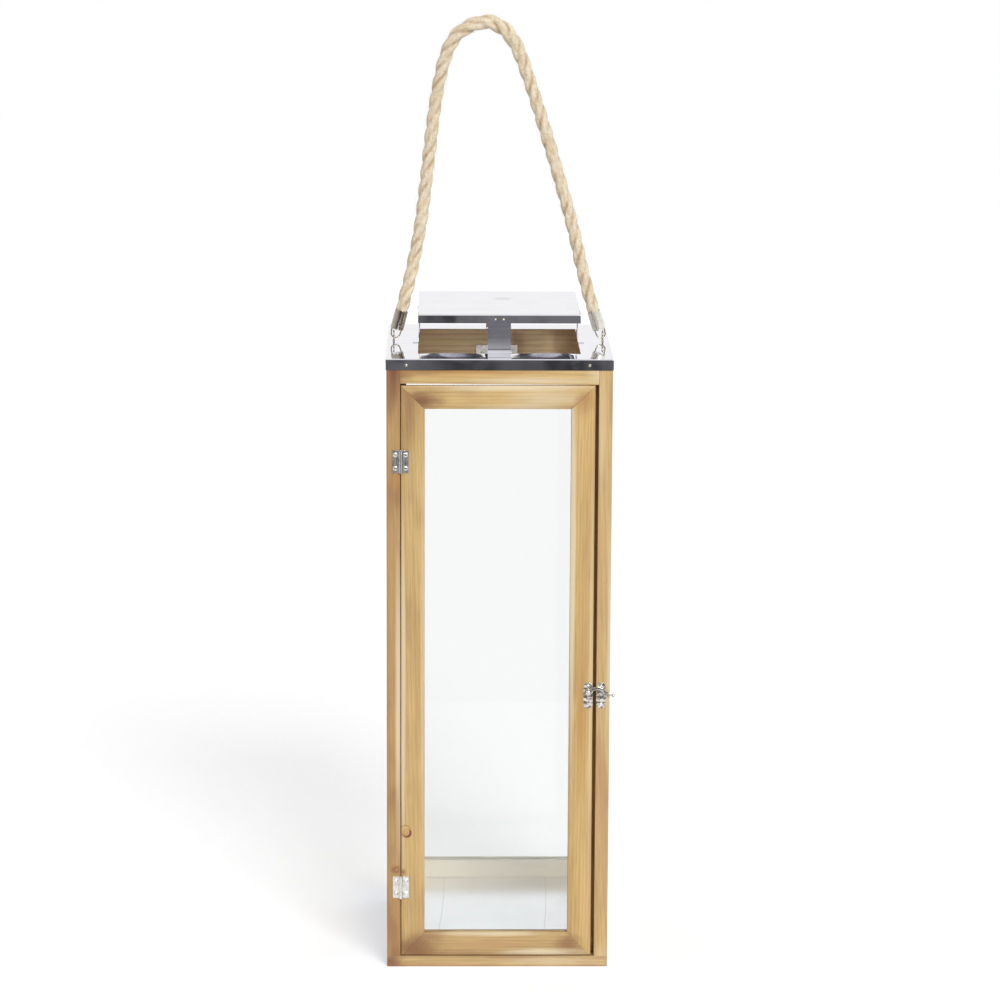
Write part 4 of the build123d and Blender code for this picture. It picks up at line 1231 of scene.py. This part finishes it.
def rope_material():
    """Flax yarns that wind across each strand, with ruddy and green fibres and darker grooves."""
    rope = bpy.context.scene.lantern_rope
    flax, straw, hollow = rgba(rope.flax), rgba(rope.straw), rgba(rope.hollow)
    made, tree, shader, place = start_material("flax_rope")
    lay = add_node(tree, "UVMap", uv_map="lay").outputs[0]
    axes = split_axes(tree, lay)
    depth = add_node(tree, "Attribute", attribute_name="groove").outputs["Fac"]
    turns = calc(tree, "MULTIPLY_ADD", axes[1], 300.0, calc(tree, "MULTIPLY", axes[0], 6.0))
    sway = calc(tree, "MULTIPLY", noise(tree, place, 180.0, 2.0), 1.6)
    yarn = calc(tree, "ABSOLUTE", calc(tree, "SINE", calc(tree, "ADD", turns, sway)))
    tufts = noise(tree, place, 260.0, 3.0, 0.6)
    hairs = noise(tree, calc_vector(tree, "MULTIPLY", lay, (30.0, 500.0, 1.0)), 1.0, 3.0, 0.7)
    soiled = remap(tree, noise(tree, place, 75.0, 2.0), 0.45, 0.75, 0.0, 0.6)
    ripe = noise(tree, place, 230.0, 3.0, 0.7)
    open_lay = remap(tree, noise(tree, place, 55.0, 2.0), 0.38, 0.64, 0.05, 0.6)
    creased = calc(tree, "MULTIPLY", remap(tree, depth, 0.5, 1.0), open_lay)
    layers = (
        (remap(tree, tufts, 0.42, 0.7, 0.0, 0.7), straw),
        (soiled, straw),
        (remap(tree, ripe, 0.52, 0.68, 0.0, 0.6), rgba(rope.blush)),
        (remap(tree, ripe, 0.48, 0.32, 0.0, 0.6), rgba(rope.green)),
        (remap(tree, yarn, 0.35, 0.0, 0.0, 0.3), straw),
        (remap(tree, hairs, 0.5, 0.7, 0.0, 0.62), hollow),
        (remap(tree, hairs, 0.5, 0.3, 0.0, 0.5), flax),
        (creased, hollow),
    )
    colour = flax
    for share, over in layers:
        colour = blend_colour(tree, share, colour, over)
    height = calc(tree, "MULTIPLY_ADD", hairs, 0.6, yarn)
    feed = {
        "Base Color": colour,
        "Normal": bump(tree, height, 0.8, 0.0009),
        "Roughness": remap(tree, hairs, 0.3, 0.7, 0.75, 0.95),
        "Sheen Weight": 0.25,
        "Sheen Roughness": 0.5,
        "Specular IOR Level": 0.2,
    }
    feed_node(tree, shader, feed)
    return made


def closes_ring(mesh, face, ring_points):
    """Whether a face of the skin joins the end of its ring to the start."""
    steps = [mesh.loops[corner].vertex_index % ring_points for corner in face.loop_indices]
    return ring_points - 1 in steps


def ring_faces(low, count):
    """The faces between a ring of points and the one that comes after it."""
    faces = []
    for step in range(count):
        following = (step + 1) % count
        faces.append((low + step, low + following, low + count + following, low + count + step))
    return faces


def drift(values, place):
    """A smooth run through a list of values."""
    low = math.floor(place)
    share = place - low
    share = share * share * (3.0 - 2.0 * share)
    return values[low % len(values)] * (1.0 - share) + values[(low + 1) % len(values)] * share


# Softening of the grooves, the grip of the ferrules, the swell at the bend, and unevenness
CREASE_SLIPS = (-0.3, -0.15, 0.0, 0.15, 0.3)
FERRULE_HOLD = 0.0205
HOLD_RAMP = 0.006
HELD_SHARE = 0.93
FREE_SHARE = 1.06
BEND_SWELL = 0.15
BEND_AT = 0.385
BEND_REACH = 0.05
UNEVEN_SHARE = 0.03
UNEVEN_PER_METRE = 90
UNEVEN_STEP = 17
UNEVEN_VALUES = 64


def write_lay(mesh, frames, ring_points):
    """Gives the skin a UV map of how far round and how far along the rope each point is."""
    lay = mesh.uv_layers.new(name="lay")
    for face in mesh.polygons:
        for corner in face.loop_indices:
            vertex = mesh.loops[corner].vertex_index
            step = vertex % ring_points
            around = step / STRAND_POINTS
            if step == 0 and closes_ring(mesh, face, ring_points):
                around = float(STRANDS)
            lay.data[corner].uv = (around, frames[vertex // ring_points][0])


def rope_mesh(points, frames):
    """Three strands laid round the centre line, as one closed skin with its lay and its grooves."""
    rope = bpy.context.scene.lantern_rope
    radius = rope.diameter / 2
    chance = random.Random(11)
    ring_points = STRANDS * STRAND_POINTS
    total = frames[-1][0]
    uneven = [chance.uniform(-1.0, 1.0) for _ in range(UNEVEN_VALUES)]
    vertices = []
    grooves = []
    for point, (travelled, across, side) in zip(points, frames):
        twist = 2 * math.pi * travelled / rope.lay
        end = min(travelled, total - travelled)
        held = min(max(end - FERRULE_HOLD, 0.0) / HOLD_RAMP, 1.0)
        bent = math.exp(-(((travelled - BEND_AT) / BEND_REACH) ** 2))
        for step in range(ring_points):
            angle = 2 * math.pi * step / ring_points
            strand = step // STRAND_POINTS
            wander = drift(uneven, travelled * UNEVEN_PER_METRE + strand * UNEVEN_STEP)
            around = angle + math.pi / STRANDS
            soft = [strand_radius(around + slip, radius, rope.strand_share) for slip in CREASE_SLIPS]
            reach = sum(soft) / len(soft)
            grooves.append(1.0 - reach / radius)
            swollen = FREE_SHARE - HELD_SHARE + UNEVEN_SHARE * wander + BEND_SWELL * bent
            reach *= HELD_SHARE + swollen * held
            turned = angle + twist
            vertices.append(point + reach * (math.cos(turned) * across + math.sin(turned) * side))
    faces = []
    for ring in range(len(points) - 1):
        faces += ring_faces(ring * ring_points, ring_points)
    faces.append(tuple(reversed(range(ring_points))))
    faces.append(tuple(range(len(vertices) - ring_points, len(vertices))))
    mesh = bpy.data.meshes.new("rope_strands")
    mesh.from_pydata(vertices, [], faces)
    write_lay(mesh, frames, ring_points)
    deepest = max(grooves)
    groove = mesh.attributes.new("groove", "FLOAT", "POINT")
    groove.data.foreach_set("value", [depth / deepest for depth in grooves])
    return mesh


# Points without fibres at each end, and a fibre's joints, root, rise and taper
FIBRE_FREE_END = 40
FIBRE_KNOTS = 5
FIBRE_ROOT = 0.43
FIBRE_RISE = 0.38
FIBRE_TAPER = 0.7


def fibre_mesh(points, frames):
    """Loose fibres that curl off the rope, each three-sided and closed."""
    rope = bpy.context.scene.lantern_rope
    chance = random.Random(5)
    vertices = []
    faces = []
    for _ in range(rope.fibre_count):
        index = chance.randrange(FIBRE_FREE_END, len(points) - FIBRE_FREE_END)
        across, side = frames[index][1:]
        angle = chance.uniform(0.0, 2 * math.pi)
        outward = math.cos(angle) * across + math.sin(angle) * side
        along = (points[index + 1] - points[index]).normalized() * chance.choice((-1.0, 1.0))
        length = rope.fibre_length * chance.uniform(0.35, 1.0)
        root = points[index] + outward * rope.diameter * FIBRE_ROOT
        lean = chance.uniform(0.5, 1.1)
        curl = across.cross(outward) * chance.uniform(-0.4, 0.4)
        thick = chance.uniform(0.00006, 0.00012)
        third = outward.cross(along)
        start = len(vertices)
        for knot in range(FIBRE_KNOTS):
            share = knot / (FIBRE_KNOTS - 1)
            height = math.sin(share * math.pi * chance.uniform(0.5, 0.62)) * length * FIBRE_RISE
            place = root + along * length * share * lean + outward * height + curl * length * share**2
            width = thick * (1.0 - FIBRE_TAPER * share)
            vertices.append(place + third * width)
            vertices.append(place - third * width + outward * width)
            vertices.append(place - outward * width)
            if knot:
                faces += ring_faces(start + 3 * (knot - 1), 3)
        tip = start + 3 * (FIBRE_KNOTS - 1)
        faces.append((start, start + 2, start + 1))
        faces.append((tip, tip + 1, tip + 2))
    mesh = bpy.data.meshes.new("rope_fibres")
    mesh.from_pydata(vertices, [], faces)
    return mesh


def fibre_material():
    rope = bpy.context.scene.lantern_rope
    made, tree, shader, place = start_material("loose_fibre")
    feed = {
        "Base Color": blend_colour(tree, noise(tree, place, 400.0), rgba(rope.flax), rgba(rope.straw)),
        "Roughness": 0.8,
        "Specular IOR Level": 0.2,
    }
    feed_node(tree, shader, feed)
    return made


def outward_normals(piece):
    with edit_mode(piece):
        bpy.ops.mesh.select_all(action="SELECT")
        bpy.ops.mesh.normals_make_consistent(inside=False)
    bpy.ops.object.shade_smooth()


class LANTERN_OT_rope(bpy.types.Operator):
    """Lay the three-strand rope of the handle along its centre line"""

    bl_idname = "lantern.rope"
    bl_label = "Rope handle"

    def execute(self, context):
        points = rope_line()
        frames = rope_frames(points)
        piece = bpy.data.objects.new("rope_strands", rope_mesh(points, frames))
        fibres = bpy.data.objects.new("rope_fibres", fibre_mesh(points, frames))
        for made in (piece, fibres):
            context.scene.collection.objects.link(made)
            outward_normals(made)
        finish_piece(piece, rope_material(), "rope_handle")
        fibres.data.materials.append(fibre_material())
        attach(fibres, HANDLE_BODY)
        return {"FINISHED"}


FERRULE_BRUSHING = (1.0, 1.0, 0.1)


class LANTERN_OT_handle_ends(bpy.types.Operator):
    """Finish the ferrules, bails and screw eyes of the handle"""

    bl_idname = "lantern.handle_ends"
    bl_label = "Handle ends"

    def execute(self, context):
        metal = context.scene.lantern_metal
        brushing = {"dented": 0.06, "stretch": FERRULE_BRUSHING}
        worn = fitting_material("worn_handle_nickel", metal.worn_nickel, 0.12, 0.24, **brushing)
        # The right ferrule takes the brighter nickel as painted light, for the lamp that falls on it from the
        # right; the left one keeps the worn nickel
        brushed_and_lit = fitting_material("brushed_lit_ferrule_nickel", metal.nickel, 0.34, 0.46, **brushing)
        for node, nickel in (("left_ferrule", worn), ("right_ferrule", brushed_and_lit)):
            piece = copy_of_node(node, "nickel")
            ease_edges(piece, 0.0002, segments=2, shortest=0.0001, corner=60.0)
            finish_piece(piece, nickel, node)
        finish_nodes(worn, "left_bail", "right_bail", "left_screw_eye", "right_screw_eye")
        return {"FINISHED"}


# Stage

CAMERA_PLACE = (-0.0634, -4.1906, 1.3633)
CAMERA_PITCH = 78.555
CAMERA_YAW = -0.906
CAMERA_ROLL = 0.263
CAMERA_LENS = 135.0
CAMERA_SENSOR = 36.0
LAMP_PLACE = (0.9, -3.0, 1.8)
FLOOR_SIZE = 8.0
FLOOR_MIDDLE = (0.0, 2.7, 0.0)


def add_key_lamp(stage):
    """One broad, distant lamp in front, to the right of the camera."""
    lamp = bpy.data.lights.new("key_lamp", "SUN")
    lamp.energy = stage.key_level
    lamp.angle = stage.key_breadth
    holder = bpy.data.objects.new("key_lamp", lamp)
    turn = Matrix.Rotation(stage.key_side, 4, "Z")
    turn = turn @ Matrix.Rotation(math.pi / 2 - stage.key_height, 4, "X")
    holder.matrix_world = Matrix.Translation(LAMP_PLACE) @ turn
    bpy.context.scene.collection.objects.link(holder)


def dark_front(tree, way):
    """The dim front of the studio, in bands that the polished rims of the roof and the cap show."""
    side, _, up = split_axes(tree, way)
    left_band = remap(tree, side, -0.006, 0.006, 0.14, 0.045)
    right_band = remap(tree, side, 0.036, 0.046, 0.0, 0.09)
    from_glint = calc(tree, "ABSOLUTE", calc(tree, "SUBTRACT", side, 0.019))
    glint = remap(tree, from_glint, 0.0, 0.014, 0.045, 0.0)
    roof_sees = fold(tree, "ADD", (left_band, right_band, glint))
    left_step = remap(tree, side, -0.016, -0.01, 0.045, 0.14)
    right_step = remap(tree, side, 0.004, 0.012, 0.0, 0.05)
    by_strap = remap(tree, calc(tree, "ABSOLUTE", side), 0.0028, 0.004, 0.4, 1.0)
    cap_sees = calc(tree, "MULTIPLY", calc(tree, "ADD", left_step, right_step), by_strap)
    upper = remap(tree, up, -0.16, -0.153)
    dim = add_node(tree, "Mix", {0: upper, 2: roof_sees, 3: cap_sees}).outputs[0]
    mottle = remap(tree, noise(tree, way, 70.0, 2.0), 0.36, 0.66, -0.012, 0.02)
    dim = calc(tree, "ADD", dim, mottle)
    cool = calc(tree, "MULTIPLY", dim, 1.05)
    return add_node(tree, "CombineColor", {0: dim, 1: dim, 2: cool}).outputs[0]


def build_studio(ambient):
    """White for the camera and through glass, a dark front half in the metal, and an even ambient."""
    world = bpy.data.worlds.new("studio")
    world.use_nodes = True
    tree = world.node_tree
    way = add_node(tree, "TexCoord").outputs["Generated"]
    axes = split_axes(tree, way)
    behind = remap(tree, axes[1], -0.3, 0.3)
    raised = remap(tree, axes[2], -0.1, 0.12, 0.0, 0.85)
    mirrored = calc(tree, "MAXIMUM", behind, raised)
    metal_sees = blend_colour(tree, mirrored, dark_front(tree, way), WHITE)
    path = add_node(tree, "LightPath").outputs
    colour = blend_colour(tree, path["Is Glossy Ray"], rgba((ambient, ambient, ambient)), metal_sees)
    seen = calc(tree, "MAXIMUM", path["Is Camera Ray"], path["Is Transmission Ray"])
    colour = blend_colour(tree, seen, colour, WHITE)
    feed_node(tree, tree.nodes["Background"], {"Color": colour})
    bpy.context.scene.world = world


# Distances from the middle between which the cool lift of the floor fades out
BOUNCE_FROM = 0.13
BOUNCE_TO = 0.2
BOUNCE_LIFT = 0.1
BOUNCE_COLOUR = (0.1, 0.45, 1.0, 1.0)


def floor_material(stage):
    """A white floor, with a cool lift round the case that evens out the warm light off the wood."""
    made = bpy.data.materials.new("white_floor")
    made.use_nodes = True
    tree = made.node_tree
    tree.nodes.remove(tree.nodes["Principled BSDF"])
    white = stage.floor_white
    matt = add_node(tree, "BsdfDiffuse", {"Color": rgba((white, white, white))}).outputs[0]
    path = add_node(tree, "LightPath").outputs
    rays = ("Is Camera Ray", "Is Glossy Ray", "Is Transmission Ray")
    seen = fold(tree, "MAXIMUM", [path[ray] for ray in rays])
    lift = calc(tree, "MULTIPLY", seen, stage.floor_lift)
    axes = split_axes(tree, add_node(tree, "NewGeometry").outputs["Position"])
    away = fold(tree, "MAXIMUM", [calc(tree, "ABSOLUTE", axis) for axis in axes[:2]])
    near = calc(tree, "MULTIPLY", seen, remap(tree, away, BOUNCE_FROM, BOUNCE_TO, BOUNCE_LIFT, 0.0))
    surface = matt
    for feed in ({"Strength": lift}, {"Color": BOUNCE_COLOUR, "Strength": near}):
        glow = add_node(tree, "Emission", feed).outputs[0]
        surface = add_node(tree, "AddShader", {0: surface, 1: glow}).outputs[0]
    feed_node(tree, tree.nodes["Material Output"], {"Surface": surface})
    return made


class LANTERN_OT_stage(bpy.types.Operator):
    """Set up the white floor, the lamp and the camera"""

    bl_idname = "lantern.stage"
    bl_label = "Stage"

    def execute(self, context):
        stage = context.scene.lantern_stage
        bpy.ops.object.select_all(action="DESELECT")
        bpy.ops.mesh.primitive_plane_add(size=FLOOR_SIZE, location=FLOOR_MIDDLE)
        floor = put_down("studio_floor")
        floor.data.materials.append(floor_material(stage))
        build_studio(stage.ambient)
        add_key_lamp(stage)
        camera = bpy.data.objects.new("camera", bpy.data.cameras.new("camera"))
        context.scene.collection.objects.link(camera)
        camera.data.lens = CAMERA_LENS
        camera.data.sensor_width = CAMERA_SENSOR
        turn = Matrix.Rotation(math.radians(CAMERA_YAW), 4, "Z")
        turn = turn @ Matrix.Rotation(math.radians(CAMERA_PITCH), 4, "X")
        turn = turn @ Matrix.Rotation(math.radians(CAMERA_ROLL), 4, "Z")
        camera.matrix_world = Matrix.Translation(CAMERA_PLACE) @ turn
        context.scene.camera = camera
        context.scene.view_settings.view_transform = "Standard"
        return {"FINISHED"}


# Panel and registration


class LANTERN_PT_panel(bpy.types.Panel):
    """Lists the pieces of the lantern and their settings"""

    bl_label = "Candle lantern"
    bl_space_type = "VIEW_3D"
    bl_region_type = "UI"
    bl_category = "Lantern"

    def draw(self, context):
        for operator in OPERATORS:
            self.layout.operator(operator.bl_idname)
        for name in SETTINGS:
            settings = getattr(context.scene, name)
            box = self.layout.box()
            for field in settings.__annotations__:
                box.prop(settings, field)


SETTINGS = {
    "lantern_wood": LanternWood,
    "lantern_metal": LanternMetal,
    "lantern_glass": LanternGlass,
    "lantern_rope": LanternRope,
    "lantern_stage": LanternStage,
}
OPERATORS = (
    LANTERN_OT_stage,
    LANTERN_OT_rope,
    LANTERN_OT_handle_ends,
    LANTERN_OT_case,
    LANTERN_OT_door,
    LANTERN_OT_floor,
    LANTERN_OT_glass,
    LANTERN_OT_roof,
    LANTERN_OT_hinges,
    LANTERN_OT_latch,
)


def register():
    for name, settings in SETTINGS.items():
        bpy.utils.register_class(settings)
        setattr(bpy.types.Scene, name, PointerProperty(type=settings))
    for operator in OPERATORS:
        bpy.utils.register_class(operator)
    bpy.utils.register_class(LANTERN_PT_panel)


def unregister():
    bpy.utils.unregister_class(LANTERN_PT_panel)
    for operator in reversed(OPERATORS):
        bpy.utils.unregister_class(operator)
    for name, settings in SETTINGS.items():
        delattr(bpy.types.Scene, name)
        bpy.utils.unregister_class(settings)


def main():
    register()
    make_shader_groups()
    bpy.ops.lantern.stage()
    bpy.ops.lantern.rope()
    bpy.ops.lantern.handle_ends()
    bpy.ops.lantern.case()
    bpy.ops.lantern.door()
    bpy.ops.lantern.floor()
    bpy.ops.lantern.glass()
    bpy.ops.lantern.roof()
    bpy.ops.lantern.hinges()
    bpy.ops.lantern.latch()


if __name__ == "__main__":
    main()
